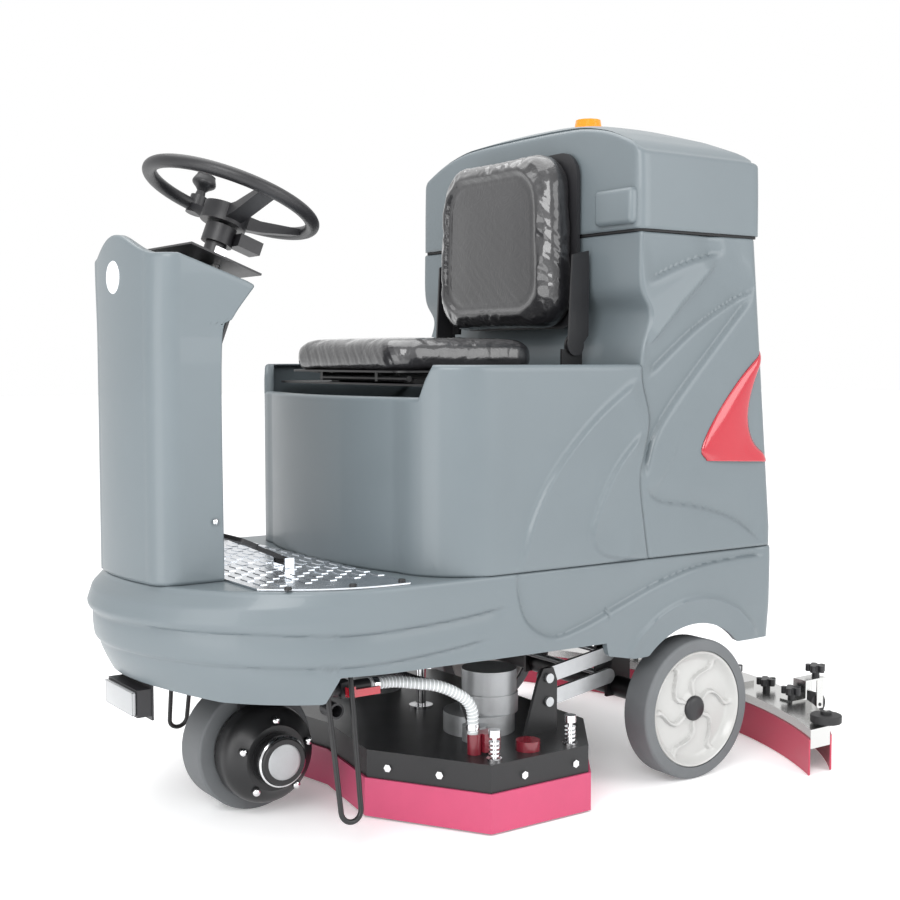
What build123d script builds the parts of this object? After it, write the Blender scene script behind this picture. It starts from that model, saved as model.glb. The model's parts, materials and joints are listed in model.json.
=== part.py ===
"""Ride-on floor scrubber: frame, moulded body, steering, brush deck, seat, tanks and squeegee.

Millimetres. +Z up, -Y is the front of the machine and +X its left side. The origin is on the
floor, half way between the nose and the squeegee, on the plane of symmetry.
"""
import os
from math import atan, cos, degrees, hypot, radians, sin, sqrt, tan

from build123d import *

# Overall layout
wheelbase = 866            # drive axle to rear axle
nose_overhang = 306        # drive axle to the front of the nose
squeegee_reach = 508       # rear axle to the back of the squeegee
body_width = 800
rim_height = 487           # top of the lower body, which carries floor plate, shroud and tank
gap = 1.0                  # clearance between neighbouring pieces of the body
overall_length = nose_overhang + wheelbase + squeegee_reach
nose_y = -overall_length / 2
drive_y = nose_y + nose_overhang
rear_y = drive_y + wheelbase
half_width = body_width / 2
wall = 6                   # moulded shells

# Wheels
rear_wheel_r = 151
rear_wheel_width = 70
rear_wheel_x = half_width + 7 - rear_wheel_width / 2
rear_rim_r = 126
rear_axle_r = 12
rear_axle_inset = 11       # end of the stub axle inside the hub cap
drive_wheel_r = 124
drive_wheel_width = 86
drive_rim_r = 92
running = 0.05             # radial clearance of a shaft in its bore

# Fork and steering
kingpin_r = 18
crown_bottom = 256
crown_thickness = 14
leg_inner_x = drive_wheel_width / 2 + 8
leg_thickness = 10
fork_sprocket_r = 72
shaft_sprocket_r = fork_sprocket_r / 3
sprocket_z = rim_height - 47
sprocket_thickness = 6
lower_shaft_y = drive_y - 183
lower_shaft_r = 11
column_tilt = 20.7         # of the steering axis toward the driver
wheel_centre_y = drive_y - 21
wheel_centre_z = rim_height + 727
steering_wheel_r = 180
rim_tube_r = 14
hub_drop = 32              # hub below the plane of the rim

# Column
column_half = 165
column_front_y = drive_y - 266
column_rear_y = drive_y - 121
column_top = rim_height + 646

# Body stations
shroud_front_y = rear_y - 714
shroud_rear_y = rear_y - 160
shroud_height = 402
tank_rear_y = rear_y + 236
tail_y = rear_y + 240
tank_top = rim_height + 673
arch_r = rear_wheel_r + 33
arch_band = 48
frame_top = rim_height - 52
rail_height = 50
rail_width = 40
rail_x = 150

# Brush deck
deck_y = rear_y - 442
deck_top = 135
deck_wall_height = 65
deck_sheet = 4
brush_r = 203
brush_x = brush_r + 14
link_x = 300
link_top_z = 274
link_drop = 49
link_front_y = rear_y - 337
link_rear_y = rear_y - 162
link_fall = 27
link_thickness = 8
pivot_r = 6

# Seat
seat_plate_z = rim_height + 360
seat_half = 235
seat_front_y = rear_y - 658
seat_back_y = rear_y - 272
seat_pan_z = seat_plate_z + 26
cushion_height = 66
back_height = 400
back_half = 228
recline_y = rear_y - 213
recline_z = seat_pan_z + 56

# Squeegee
squeegee_half = 553
blade_arc_r = 749
front_arc_r = 1011
blade_overhang = 1.7       # squeegee bar behind the rear blade's face
squeegee_centre_y = rear_y + squeegee_reach + blade_overhang
squeegee_top = 100
squeegee_bottom = 58
carrier_y = tail_y - 40
carrier_z = 200

os.makedirs("parts", exist_ok=True)


def save(part, name):
    part.label = name
    export_step(part, f"parts/{name}.step")


def plan(front_y, back_y, shoulder_y, half, corner):
    """Body outline from above: straight sides, a rounded tail and a tapering nose."""
    reach = shoulder_y - front_y
    with BuildLine(mode=Mode.PRIVATE) as outline:
        Bezier((half, shoulder_y), (half, shoulder_y - 0.56 * reach), (0.5 * half, front_y), (0, front_y))
        Line((half, shoulder_y), (half, back_y - corner))
        RadiusArc((half, back_y - corner), (half - corner, back_y), -corner)
        Line((half - corner, back_y), (0, back_y))
        mirror(about=Plane.YZ)
    return outline.line


def rounded_plan(front_y, back_y, half, front_r, back_r, crown):
    """Plan of a moulded box: a front that bows forward by crown and rounded corners."""
    with BuildSketch(mode=Mode.PRIVATE) as outline:
        with BuildLine():
            ThreePointArc((-half, front_y + crown), (0, front_y), (half, front_y + crown))
            Polyline((half, front_y + crown), (half, back_y), (-half, back_y), (-half, front_y + crown))
        make_face()
        fillet(outline.vertices().group_by(Axis.Y)[0], front_r)
        if back_r > 0:
            fillet(outline.vertices().group_by(Axis.Y)[-1], back_r)
    return outline.sketch


# ---------------------------------------------------------------- lower body
shoulder_y = drive_y + 114
tail_corner_r = 24
bulge_z = rim_height - 57
chin_z = 280
nose_swell = 7.4           # how far the lofted skin swells ahead of its widest section
body_sections = [(rim_height, 48, 0), (bulge_z, nose_swell, 0), (chin_z, 62, -6)]

with BuildPart() as lower_body:
    for height, set_back, narrow in body_sections:
        with BuildSketch(Plane.XY.offset(height)):
            add(plan(nose_y + set_back, tail_y, shoulder_y, half_width + narrow, tail_corner_r))
            make_face()
    loft(ruled=False)
    for height, set_back, narrow in body_sections:
        inner_height = height - wall if height == rim_height else height
        with BuildSketch(Plane.XY.offset(inner_height if height > chin_z else chin_z - 1)):
            add(plan(nose_y + set_back + wall, tail_y - wall, shoulder_y, half_width + narrow - wall,
                     tail_corner_r - wall))
            make_face()
    loft(ruled=False, mode=Mode.SUBTRACT)
    # underside: low front lobe, raised sill over the deck, and the wheel arches
    with BuildSketch(Plane.YZ):
        with BuildLine():
            Polyline((nose_y - 10, 0), (nose_y - 10, rim_height - 187), (drive_y - 206, chin_z + 2),
                     (drive_y - 40, chin_z + 2), (drive_y - 4, chin_z + 50), (rear_y - 250, chin_z + 42),
                     (rear_y - 244, chin_z + 14), (rear_y - 172, chin_z + 10), (rear_y - 120, 0),
                     (nose_y - 10, 0))
        make_face()
        with Locations((rear_y, rear_wheel_r)):
            Circle(arch_r)
    extrude(amount=half_width + 10, both=True, mode=Mode.SUBTRACT)
    # openings in the top: steering shaft, and the battery well under the seat shroud
    with BuildSketch(Plane.XY.offset(rim_height)):
        with Locations((0, lower_shaft_y)):
            Circle(lower_shaft_r + 14)
        with Locations((0, (shroud_front_y + shroud_rear_y) / 2)):
            Rectangle(body_width - 120, shroud_rear_y - shroud_front_y - 120)
    extrude(amount=-2 * wall, mode=Mode.SUBTRACT)
    # fender band round each wheel arch
    with BuildSketch(Plane.YZ.offset(-half_width - 4)):
        with BuildLine():
            CenterArc((rear_y, rear_wheel_r), arch_r + arch_band, 40, 104)
            CenterArc((rear_y, rear_wheel_r), arch_r, 40, 104)
            Line((rear_y + (arch_r + arch_band) * cos(radians(40)),
                  rear_wheel_r + (arch_r + arch_band) * sin(radians(40))),
                 (rear_y + arch_r * cos(radians(40)), rear_wheel_r + arch_r * sin(radians(40))))
            Line((rear_y + (arch_r + arch_band) * cos(radians(144)),
                  rear_wheel_r + (arch_r + arch_band) * sin(radians(144))),
                 (rear_y + arch_r * cos(radians(144)), rear_wheel_r + arch_r * sin(radians(144))))
        make_face()
    extrude(amount=8)
    mirror(about=Plane.YZ)
save(lower_body.part, "lower_body")

# ---------------------------------------------------------------- chassis frame
rail_front_y = drive_y - 150
rail_rear_y = rear_y + 130
with BuildPart() as chassis_frame:
    rail_mid_y = (rail_front_y + rail_rear_y) / 2
    with Locations((-rail_x, rail_mid_y, frame_top - rail_height / 2),
                   (rail_x, rail_mid_y, frame_top - rail_height / 2)):
        Box(rail_width, rail_rear_y - rail_front_y, rail_height)
    with Locations((0, rail_front_y + 20, frame_top - 20), (0, drive_y, frame_top - 20),
                   (0, deck_y, frame_top - 20), (0, rail_rear_y - 20, frame_top - 20)):
        Box(2 * rail_x, 60, 40)
    with Locations((0, link_rear_y, frame_top - 20)):
        Box(2 * link_x + 20, 40, 40)
    # link hangers
    with Locations(*[(side * (link_x - 16), link_rear_y, frame_top - 105) for side in (-1, 1)]):
        Box(8, 44, 210)
    # steering head
    with Locations((0, drive_y, (crown_bottom + crown_thickness + 4 + frame_top) / 2)):
        Cylinder(kingpin_r + 16, frame_top - crown_bottom - crown_thickness - 4)
    # front bearing bracket for the lower steering shaft
    with Locations((0, (lower_shaft_y + rail_front_y) / 2 - 10, frame_top - 6)):
        Box(70, rail_front_y - lower_shaft_y + 50, 12)
    with Locations((0, lower_shaft_y, frame_top - 20)):
        Cylinder(lower_shaft_r + 9, 40)
    # rear axle beam with its stub axles and hangers
    with BuildSketch(Plane.YZ.offset(-rear_wheel_x + rear_wheel_width / 2 + 8)):
        with Locations((rear_y, rear_wheel_r)):
            Circle(24)
    extrude(amount=2 * (rear_wheel_x - rear_wheel_width / 2 - 8))
    with BuildSketch(Plane.YZ.offset(-rear_wheel_x - rear_wheel_width / 2 + rear_axle_inset)):
        with Locations((rear_y, rear_wheel_r)):
            Circle(rear_axle_r)
    extrude(amount=2 * (rear_wheel_x + rear_wheel_width / 2 - rear_axle_inset))
    hanger_z = (rear_wheel_r + frame_top - rail_height) / 2
    with Locations(*[(side * rail_x, rear_y, hanger_z) for side in (-1, 1)]):
        Box(8, 70, frame_top - rail_height - rear_wheel_r + 40)
    # squeegee hitch at the tail
    with Locations((0, (rail_rear_y + carrier_y) / 2 - 20, frame_top - 46)):
        Box(60, carrier_y - rail_rear_y + 60, 12)
    with Locations(*[(side * 26, carrier_y, (carrier_z - 20 + frame_top - 40) / 2) for side in (-1, 1)]):
        Box(8, 40, frame_top - 40 - carrier_z + 20)
    # bores
    with Locations((0, drive_y, 0)):
        Cylinder(kingpin_r + running, 2 * rim_height, mode=Mode.SUBTRACT)
    with Locations((0, lower_shaft_y, frame_top)):
        Cylinder(lower_shaft_r + running, 200, mode=Mode.SUBTRACT)
    with BuildSketch(Plane.YZ.offset(-half_width)):
        with Locations((link_rear_y, link_top_z), (link_rear_y, link_top_z - link_drop)):
            Circle(pivot_r + running)
        with Locations((carrier_y, carrier_z)):
            Circle(pivot_r + running)
    extrude(amount=body_width, mode=Mode.SUBTRACT)
    with Locations((0, deck_y, frame_top)):
        Cylinder(26, 200, mode=Mode.SUBTRACT)
save(chassis_frame.part, "chassis_frame")

# ---------------------------------------------------------------- floor plate and its screws
plate_thickness = 3
plate_top = rim_height + gap + plate_thickness
pad_height = 1.2
pedal_x = 110
pedal_heel_y = column_rear_y + 150
pedal_heel_z = plate_top + 16
pedal_pin_r = 4
pedal_rise = 24
with BuildPart() as floor_plate:
    with BuildSketch(Plane.XY.offset(rim_height + gap)):
        add(plan(nose_y + 60, shroud_front_y - 2, shoulder_y, half_width - 12, 8))
        make_face()
        with Locations((0, column_front_y)):
            Rectangle(body_width, 2 * (column_rear_y + 2 - column_front_y), mode=Mode.SUBTRACT)
    extrude(amount=plate_thickness)
    pad_area = Plane.XY.offset(plate_top)
    pad_length, pad_width, pad_step = 30, 14, 52
    pad_depth_y = shroud_front_y - column_rear_y
    pad_rows = int(pad_depth_y / pad_step) * 2
    pad_columns = int((body_width - 220) / pad_step)
    with BuildSketch(pad_area):
        for row in range(pad_rows):
            shift = (row % 2) * pad_step / 2
            row_y = column_rear_y + 30 + row * pad_step / 2
            for column in range(pad_columns):
                pad_x = (column - (pad_columns - 1) / 2) * pad_step + shift - pad_step / 4
                with Locations((pad_x, row_y)):
                    Rectangle(pad_length, pad_width)
    extrude(amount=pad_height)
    # lugs and pin that carry the heel of the pedal
    with Locations(*[(pedal_x + side * 24, pedal_heel_y, plate_top + 12) for side in (-1, 1)]):
        Box(4, 20, 24 + 0.2)
    with BuildSketch(Plane.YZ.offset(pedal_x - 24)):
        with Locations((pedal_heel_y, pedal_heel_z)):
            Circle(pedal_pin_r)
    extrude(amount=48)
save(floor_plate.part, "floor_plate")

screw_places = [(side * (half_width - across), shroud_front_y - ahead)
                for side in (-1, 1) for across, ahead in ((26, 18), (30, 120), (66, 232))]
with BuildPart() as floor_plate_screws:
    with Locations(*[(x, y, plate_top + 3) for x, y in screw_places]):
        Cylinder(7, 6)
    fillet(floor_plate_screws.edges().group_by(Axis.Z)[-1], 2)
save(floor_plate_screws.part, "floor_plate_screws")

# ---------------------------------------------------------------- column cover
column_base = rim_height + gap
cheek_back = 68            # how far the flared top of the cheeks reaches behind the rear panel
column_skin = 5
column_corner_r = 52
column_crown = 22
with BuildPart() as column_cover:
    with BuildSketch(Plane.XY.offset(column_base)):
        add(rounded_plan(column_front_y, column_rear_y + cheek_back, column_half, column_corner_r, 0,
                         column_crown))
        add(rounded_plan(column_front_y + column_skin, column_rear_y + cheek_back + 1,
                         column_half - column_skin, column_corner_r - column_skin, 0, column_crown),
            mode=Mode.SUBTRACT)
    extrude(amount=column_top + 30 - column_base)
    # side view: sloping top edge with a brow at the front, rear edge flared near the top
    with BuildSketch(Plane.YZ):
        with BuildLine():
            ThreePointArc((column_front_y - 6, column_top - 30), (column_front_y + 26, column_top - 2),
                          (column_front_y + 60, column_top - 20))
            Polyline((column_front_y + 60, column_top - 20), (column_rear_y - 20, column_top - 52),
                     (column_rear_y + cheek_back, column_top - 92), (column_rear_y + 22, column_top - 156),
                     (column_rear_y, column_top - 215), (column_rear_y, column_base),
                     (column_front_y - 6, column_base), (column_front_y - 6, column_top - 30))
        make_face()
    extrude(amount=half_width, both=True, mode=Mode.INTERSECT)
save(column_cover.part, "column_cover")

# ---------------------------------------------------------------- column rear panel
panel_thickness = 4
inner_half = column_half - column_skin - gap
tilt = radians(column_tilt)
axis_dir = Vector(0, sin(tilt), cos(tilt))
wheel_plane = Plane(origin=(0, wheel_centre_y, wheel_centre_z), x_dir=(1, 0, 0), z_dir=axis_dir)
panel_drop = 150           # control panel below the plane of the rim, along the steering axis
panel_plane = wheel_plane.offset(-panel_drop)
column_tube_r = 21
u_joint_z = wheel_centre_z - (wheel_centre_y - lower_shaft_y) / tan(tilt)
u_joint_drop = (wheel_centre_y - lower_shaft_y) / sin(tilt)
with BuildPart() as column_rear_panel:
    with BuildSketch(Plane.YZ):
        with BuildLine():
            Polyline((column_rear_y - 2, column_base + 0.2), (column_rear_y - 2, column_top - 215),
                     (column_rear_y + 20, column_top - 156), (column_rear_y + 58, column_top - 104),
                     (column_rear_y + 53, column_top - 101), (column_rear_y + 15, column_top - 153),
                     (column_rear_y - 6, column_top - 213), (column_rear_y - 6, column_base + 0.2),
                     close=True)
        make_face()
    extrude(amount=inner_half, both=True)
    # slot that the steering shaft passes through
    with BuildSketch(wheel_plane.offset(-panel_drop)):
        Circle(column_tube_r + 3)
    extrude(amount=-u_joint_drop + panel_drop, mode=Mode.SUBTRACT)
save(column_rear_panel.part, "column_rear_panel")


# ---------------------------------------------------------------- control panel, steering column
cowl_top = hub_drop + 28
cowl_height = 36
shaft_r = 11

with BuildPart() as control_panel:
    with BuildSketch(panel_plane):
        with Locations((0, -34)):
            Rectangle(2 * inner_half - 4, 150)
        Circle(column_tube_r + gap, mode=Mode.SUBTRACT)
        with Locations((80, -20)):
            Circle(9 + gap, mode=Mode.SUBTRACT)
        with Locations((-80, -20)):
            Circle(9 + gap, mode=Mode.SUBTRACT)
    extrude(amount=-panel_thickness)
save(control_panel.part, "control_panel")

with BuildPart() as column_tube:
    with BuildSketch(wheel_plane.offset(-panel_drop - 70)):
        Circle(column_tube_r)
        Circle(shaft_r + 2, mode=Mode.SUBTRACT)
    extrude(amount=panel_drop + 70 - cowl_top - cowl_height - 0.3)
    # collar with its clamp lever where the tube leaves the panel
    with BuildSketch(wheel_plane.offset(-panel_drop + 1)):
        Circle(column_tube_r + 6)
        Circle(column_tube_r - 1, mode=Mode.SUBTRACT)
    extrude(amount=12)
    # cowl under the wheel with its switch box
    with BuildSketch(wheel_plane.offset(-cowl_top - cowl_height)):
        Circle(31)
        Circle(shaft_r + 2, mode=Mode.SUBTRACT)
    extrude(amount=cowl_height)
    with BuildSketch(wheel_plane.offset(-cowl_top - cowl_height + 4)):
        with Locations((22, 50)):
            Rectangle(46, 50)
    extrude(amount=26)
save(column_tube.part, "column_tube")

rim_mean_r = steering_wheel_r - rim_tube_r
hub_r = 46
spoke_width = 34
wheel_axis = Axis(wheel_plane.origin, axis_dir)
knob_plane = Plane(origin=wheel_plane.from_local_coords((-rim_mean_r, 0, 0)), x_dir=(1, 0, 0),
                   z_dir=axis_dir)


def spoke_plane(turn):
    """Plane through the steering axis: local x runs out along a spoke, local y up the axis."""
    out = wheel_plane.x_dir * cos(radians(turn)) + wheel_plane.y_dir * sin(radians(turn))
    return Plane(origin=wheel_plane.origin, x_dir=out, z_dir=out.cross(axis_dir))


with BuildPart() as steering_wheel:
    with BuildSketch(wheel_plane.offset(-cowl_top + 4)):
        Circle(hub_r)
    extrude(amount=cowl_top - 4 - hub_drop + 12)
    for turn in (0, 90, 180):
        with BuildSketch(spoke_plane(turn).offset(-spoke_width / 2)):
            with BuildLine():
                Polyline((hub_r - 14, -cowl_top + 8), (hub_r + 30, -cowl_top + 20), (rim_mean_r, -7),
                         (rim_mean_r, 5), (hub_r + 20, -hub_drop + 12), (hub_r - 14, -hub_drop + 10),
                         close=True)
            make_face()
        extrude(amount=spoke_width)
    # horn button recess
    with BuildSketch(wheel_plane.offset(-hub_drop - 6)):
        Circle(27)
    extrude(amount=80, mode=Mode.SUBTRACT)
    with BuildSketch(spoke_plane(45)):
        with Locations((rim_mean_r, 0)):
            Ellipse(rim_tube_r, rim_tube_r - 1)
    revolve(axis=wheel_axis)
    # clamp that holds the spinner knob to the rim
    with BuildSketch(knob_plane.offset(-16)):
        Circle(18)
    extrude(amount=38)
    with BuildSketch(knob_plane.offset(2)):
        Circle(5 + running)
    extrude(amount=40, mode=Mode.SUBTRACT)
    # steering shaft down the column, with the upper yoke of its universal joint
    with BuildSketch(wheel_plane.offset(-u_joint_drop + 22)):
        Circle(shaft_r)
    extrude(amount=u_joint_drop - 22 - cowl_top + 4 - 0.2)
    with BuildSketch(wheel_plane.offset(-u_joint_drop + 16)):
        Circle(18)
    extrude(amount=8)
    with BuildSketch(wheel_plane.offset(-u_joint_drop - 8)):
        with Locations((-15, 0), (15, 0)):
            Rectangle(6, 12)
    extrude(amount=26)
save(steering_wheel.part, "steering_wheel")

with BuildPart() as horn_button:
    with BuildSketch(wheel_plane.offset(-hub_drop - 2)):
        Circle(26)
    extrude(amount=14)
    fillet(horn_button.edges().sort_by(Axis.Z)[-1], 4)
save(horn_button.part, "horn_button")

with BuildPart() as spinner_knob:
    with BuildSketch(Plane(origin=knob_plane.origin, x_dir=(1, 0, 0), z_dir=-wheel_plane.y_dir)):
        with BuildLine():
            Polyline((0, 4), (5, 4), (5, 23), (11, 23), (9, 34), (14, 40))
            Spline((14, 40), (25, 52), (20, 66), (0, 70), tangents=((0.8, 0.6), (-1, 0)))
            Line((0, 70), (0, 4))
        make_face()
    revolve(axis=Axis(knob_plane.origin, axis_dir))
save(spinner_knob.part, "spinner_knob")

with BuildPart() as lower_steering_shaft:
    with Locations((0, lower_shaft_y, (frame_top - 40 + u_joint_z - 22) / 2)):
        Cylinder(lower_shaft_r, u_joint_z - 22 - frame_top + 40)
    with Locations((0, lower_shaft_y, u_joint_z - 20)):
        Cylinder(18, 8)
    with Locations((0, lower_shaft_y - 15, u_joint_z - 4), (0, lower_shaft_y + 15, u_joint_z - 4)):
        Box(12, 6, 26)
    with Locations((0, lower_shaft_y, sprocket_z + sprocket_thickness / 2)):
        Cylinder(shaft_sprocket_r, sprocket_thickness)
save(lower_steering_shaft.part, "lower_steering_shaft")

with BuildPart() as steering_chain:
    with BuildSketch(Plane.XY.offset(sprocket_z - 1)):
        for grow, chain_mode in ((9, Mode.ADD), (2, Mode.SUBTRACT)):
            with BuildSketch(mode=Mode.PRIVATE) as loop:
                with Locations((0, drive_y)):
                    Circle(fork_sprocket_r + grow)
                with Locations((0, lower_shaft_y)):
                    Circle(shaft_sprocket_r + grow)
                make_hull()
            add(loop.sketch, mode=chain_mode)
    extrude(amount=8)
save(steering_chain.part, "steering_chain")

# ---------------------------------------------------------------- fork and drive wheel
leg_outer_x = leg_inner_x + leg_thickness
drive_axle = Axis((0, drive_y, drive_wheel_r), (1, 0, 0))
drive_axle_r = 12


def wheel_sketch_plane(axle_y, axle_z):
    """Half section of a wheel: local x is the axle direction, local y the radius."""
    return Plane(origin=(0, axle_y, axle_z), x_dir=(1, 0, 0), z_dir=(0, -1, 0))


with BuildPart() as steering_fork:
    kingpin_top = sprocket_z + sprocket_thickness
    with Locations((0, drive_y, (crown_bottom + kingpin_top) / 2)):
        Cylinder(kingpin_r, kingpin_top - crown_bottom)
    with Locations((0, drive_y, sprocket_z + sprocket_thickness / 2)):
        Cylinder(fork_sprocket_r, sprocket_thickness)
    with Locations((0, drive_y, crown_bottom + crown_thickness / 2)):
        Box(2 * leg_outer_x, 100, crown_thickness)
    for side in (-1, 1):
        with BuildSketch(Plane.YZ.offset(side * leg_inner_x)):
            with BuildLine():
                Polyline((drive_y - 50, crown_bottom + 2), (drive_y - 30, drive_wheel_r),
                         (drive_y - 30, drive_wheel_r - 26), (drive_y + 30, drive_wheel_r - 26),
                         (drive_y + 30, drive_wheel_r), (drive_y + 50, crown_bottom + 2), close=True)
            make_face()
        extrude(amount=side * leg_thickness)
    with BuildSketch(Plane.YZ.offset(-half_width)):
        with Locations((drive_y, drive_wheel_r)):
            Circle(drive_axle_r + running)
    extrude(amount=body_width, mode=Mode.SUBTRACT)
save(steering_fork.part, "steering_fork")

motor_face_x = leg_outer_x + 0.3
motor_cap_height = 30
with BuildPart() as drive_motor:
    with BuildSketch(wheel_sketch_plane(drive_y, drive_wheel_r)):
        with BuildLine():
            Polyline((motor_face_x, 0), (motor_face_x, 98), (motor_face_x + 24, 98))
            Spline((motor_face_x + 24, 98), (motor_face_x + 52, 84), (motor_face_x + 68, 64),
                   tangents=((1, 0), (0.7, -0.7)))
            Polyline((motor_face_x + 68, 64), (motor_face_x + 68, 52), (motor_face_x + 72, 52),
                     (motor_face_x + 72, 0), (motor_face_x, 0))
        make_face()
    revolve(axis=drive_axle)
    # bearing cap, and the screws round it
    with BuildSketch(Plane.YZ.offset(motor_face_x + 72.3)):
        with Locations((drive_y, drive_wheel_r)):
            Circle(46)
    extrude(amount=motor_cap_height)
    chamfer(drive_motor.faces().sort_by(Axis.X)[-1].edges(), 2)
    with BuildSketch(Plane.YZ.offset(motor_face_x + 58)):
        with Locations((drive_y, drive_wheel_r)):
            with PolarLocations(74, 5, start_angle=18):
                Circle(6)
    extrude(amount=12)
save(drive_motor.part, "drive_motor")

with BuildPart() as drive_tyre:
    with BuildSketch(wheel_sketch_plane(drive_y, drive_wheel_r)):
        with Locations((0, (drive_rim_r + drive_wheel_r) / 2)):
            Rectangle(drive_wheel_width, drive_wheel_r - drive_rim_r)
    revolve(axis=drive_axle)
    fillet(drive_tyre.edges().filter_by(GeomType.CIRCLE).group_by(lambda e: e.radius)[-1], 6)
save(drive_tyre.part, "drive_tyre")

with BuildPart() as drive_hub:
    with BuildSketch(wheel_sketch_plane(drive_y, drive_wheel_r)):
        with BuildLine():
            Polyline((-leg_outer_x, 0), (-leg_outer_x, drive_axle_r), (-20, drive_axle_r), (-20, 40),
                     (-8, 40), (-8, 80), (-36, 80), (-36, drive_rim_r - 0.2), (36, drive_rim_r - 0.2),
                     (36, 80), (8, 80), (8, 40), (20, 40), (20, drive_axle_r),
                     (leg_outer_x, drive_axle_r), (leg_outer_x, 0), close=True)
        make_face()
    revolve(axis=drive_axle)
save(drive_hub.part, "drive_hub")

# ---------------------------------------------------------------- rear wheels
for side, side_name in ((1, "left"), (-1, "right")):
    rear_axle = Axis((0, rear_y, rear_wheel_r), (1, 0, 0))
    outer_x = rear_wheel_x + rear_wheel_width / 2
    inner_x = rear_wheel_x - rear_wheel_width / 2
    with BuildPart() as rear_tyre:
        with BuildSketch(wheel_sketch_plane(rear_y, rear_wheel_r)):
            with Locations((side * rear_wheel_x, (rear_rim_r + rear_wheel_r) / 2)):
                Rectangle(rear_wheel_width, rear_wheel_r - rear_rim_r)
        revolve(axis=rear_axle)
        fillet(rear_tyre.edges().filter_by(GeomType.CIRCLE).group_by(lambda e: e.radius)[-1], 7)
    save(rear_tyre.part, f"rear_tyre_{side_name}")

    with BuildPart() as rear_rim:
        with BuildSketch(wheel_sketch_plane(rear_y, rear_wheel_r)):
            with BuildLine():
                bead_r = rear_rim_r - 0.2
                Polyline(*[(side * x, r) for x, r in (
                    (inner_x + 4, rear_axle_r + running), (inner_x + 4, 30), (outer_x - 24, 32),
                    (outer_x - 20, bead_r - 10), (inner_x + 6, bead_r - 8), (inner_x + 6, bead_r),
                    (outer_x, bead_r), (outer_x, bead_r - 5), (outer_x - 14, bead_r - 12),
                    (outer_x - 17, 34), (outer_x - 10, 26), (outer_x - 10, rear_axle_r + running))],
                    close=True)
            make_face()
        revolve(axis=rear_axle)
        with BuildSketch(Plane.YZ.offset(side * (outer_x - 17))):
            with Locations((rear_y, rear_wheel_r)):
                with PolarLocations(78, 6, start_angle=20):
                    Rectangle(56, 5)
        extrude(amount=side * 5)
        with BuildSketch(Plane.YZ.offset(side * (outer_x - rear_axle_inset + 0.6))):
            with Locations((rear_y, rear_wheel_r)):
                Circle(24)
        extrude(amount=side * 8)
    save(rear_rim.part, f"rear_rim_{side_name}")

# ---------------------------------------------------------------- seat shroud and recovery tank
shroud_base = rim_height + gap
shroud_top = rim_height + shroud_height
side_x = half_width - 1
shroud_corner_r = 120
shroud_crown = 50          # how far the front of the shroud bows forward
# wavy seam between shroud and tank: height above the rim, and offset along the machine
seam = [(-5, 19), (60, 8), (178, -9), (282, 17), (370, -2), (435, 0), (506, 20), (563, -6), (680, -8)]


def seam_line(shift):
    """The seam as a curve in the side view, moved back by shift."""
    return [(shroud_rear_y + offset + shift, rim_height + height) for height, offset in seam]


with BuildPart() as seat_shroud:
    shroud_back = shroud_rear_y + 40
    with BuildSketch(Plane.XY.offset(shroud_base)):
        add(rounded_plan(shroud_front_y, shroud_back, side_x, shroud_corner_r, 0, shroud_crown))
    extrude(amount=shroud_top - shroud_base)
    with BuildSketch(Plane.XY.offset(shroud_base)):
        add(rounded_plan(shroud_front_y + wall, shroud_rear_y - 24, side_x - wall, shroud_corner_r - wall, 0,
                         shroud_crown))
    extrude(amount=shroud_top - shroud_base, mode=Mode.SUBTRACT)
    with BuildSketch(Plane.YZ):
        with BuildLine():
            front_seam = seam_line(-gap / 2)
            Spline(*front_seam)
            Polyline(front_seam[-1], (tail_y + 20, front_seam[-1][1]), (tail_y + 20, front_seam[0][1]),
                     front_seam[0])
        make_face()
    extrude(amount=half_width + 5, both=True, mode=Mode.SUBTRACT)
    # recess below the front of the seat
    with Locations((0, shroud_front_y, shroud_top)):
        Box(2 * side_x - 130, 230, 2 * 62, mode=Mode.SUBTRACT)
save(seat_shroud.part, "seat_shroud")

tank_base = rim_height + gap
tank_corner_r = 24
with BuildPart() as recovery_tank:
    with BuildSketch(Plane.XY.offset(tank_base)):
        add(rounded_plan(shroud_rear_y - 12, tank_rear_y, side_x, 26, tank_corner_r, 4))
    extrude(amount=tank_top - tank_base)
    with BuildSketch(Plane.YZ):
        with BuildLine():
            back_seam = seam_line(gap / 2)
            Spline(*back_seam)
            Polyline(back_seam[-1], (shroud_rear_y - 60, back_seam[-1][1]),
                     (shroud_rear_y - 60, back_seam[0][1]), back_seam[0])
        make_face()
        with BuildLine():
            Polyline((tank_rear_y - 62, tank_top), (tank_rear_y + 2, tank_base + 40),
                     (tank_rear_y + 20, tank_base + 40), (tank_rear_y + 20, tank_top + 1),
                     (tank_rear_y - 62, tank_top + 1), close=True)
        make_face()
    extrude(amount=half_width + 5, both=True, mode=Mode.SUBTRACT)
    with BuildSketch(Plane.XY.offset(tank_base + wall)):
        add(rounded_plan(shroud_rear_y + 28, tank_rear_y - 72, side_x - wall, 30, 40, 4))
    extrude(amount=tank_top, mode=Mode.SUBTRACT)
save(recovery_tank.part, "recovery_tank")

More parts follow.
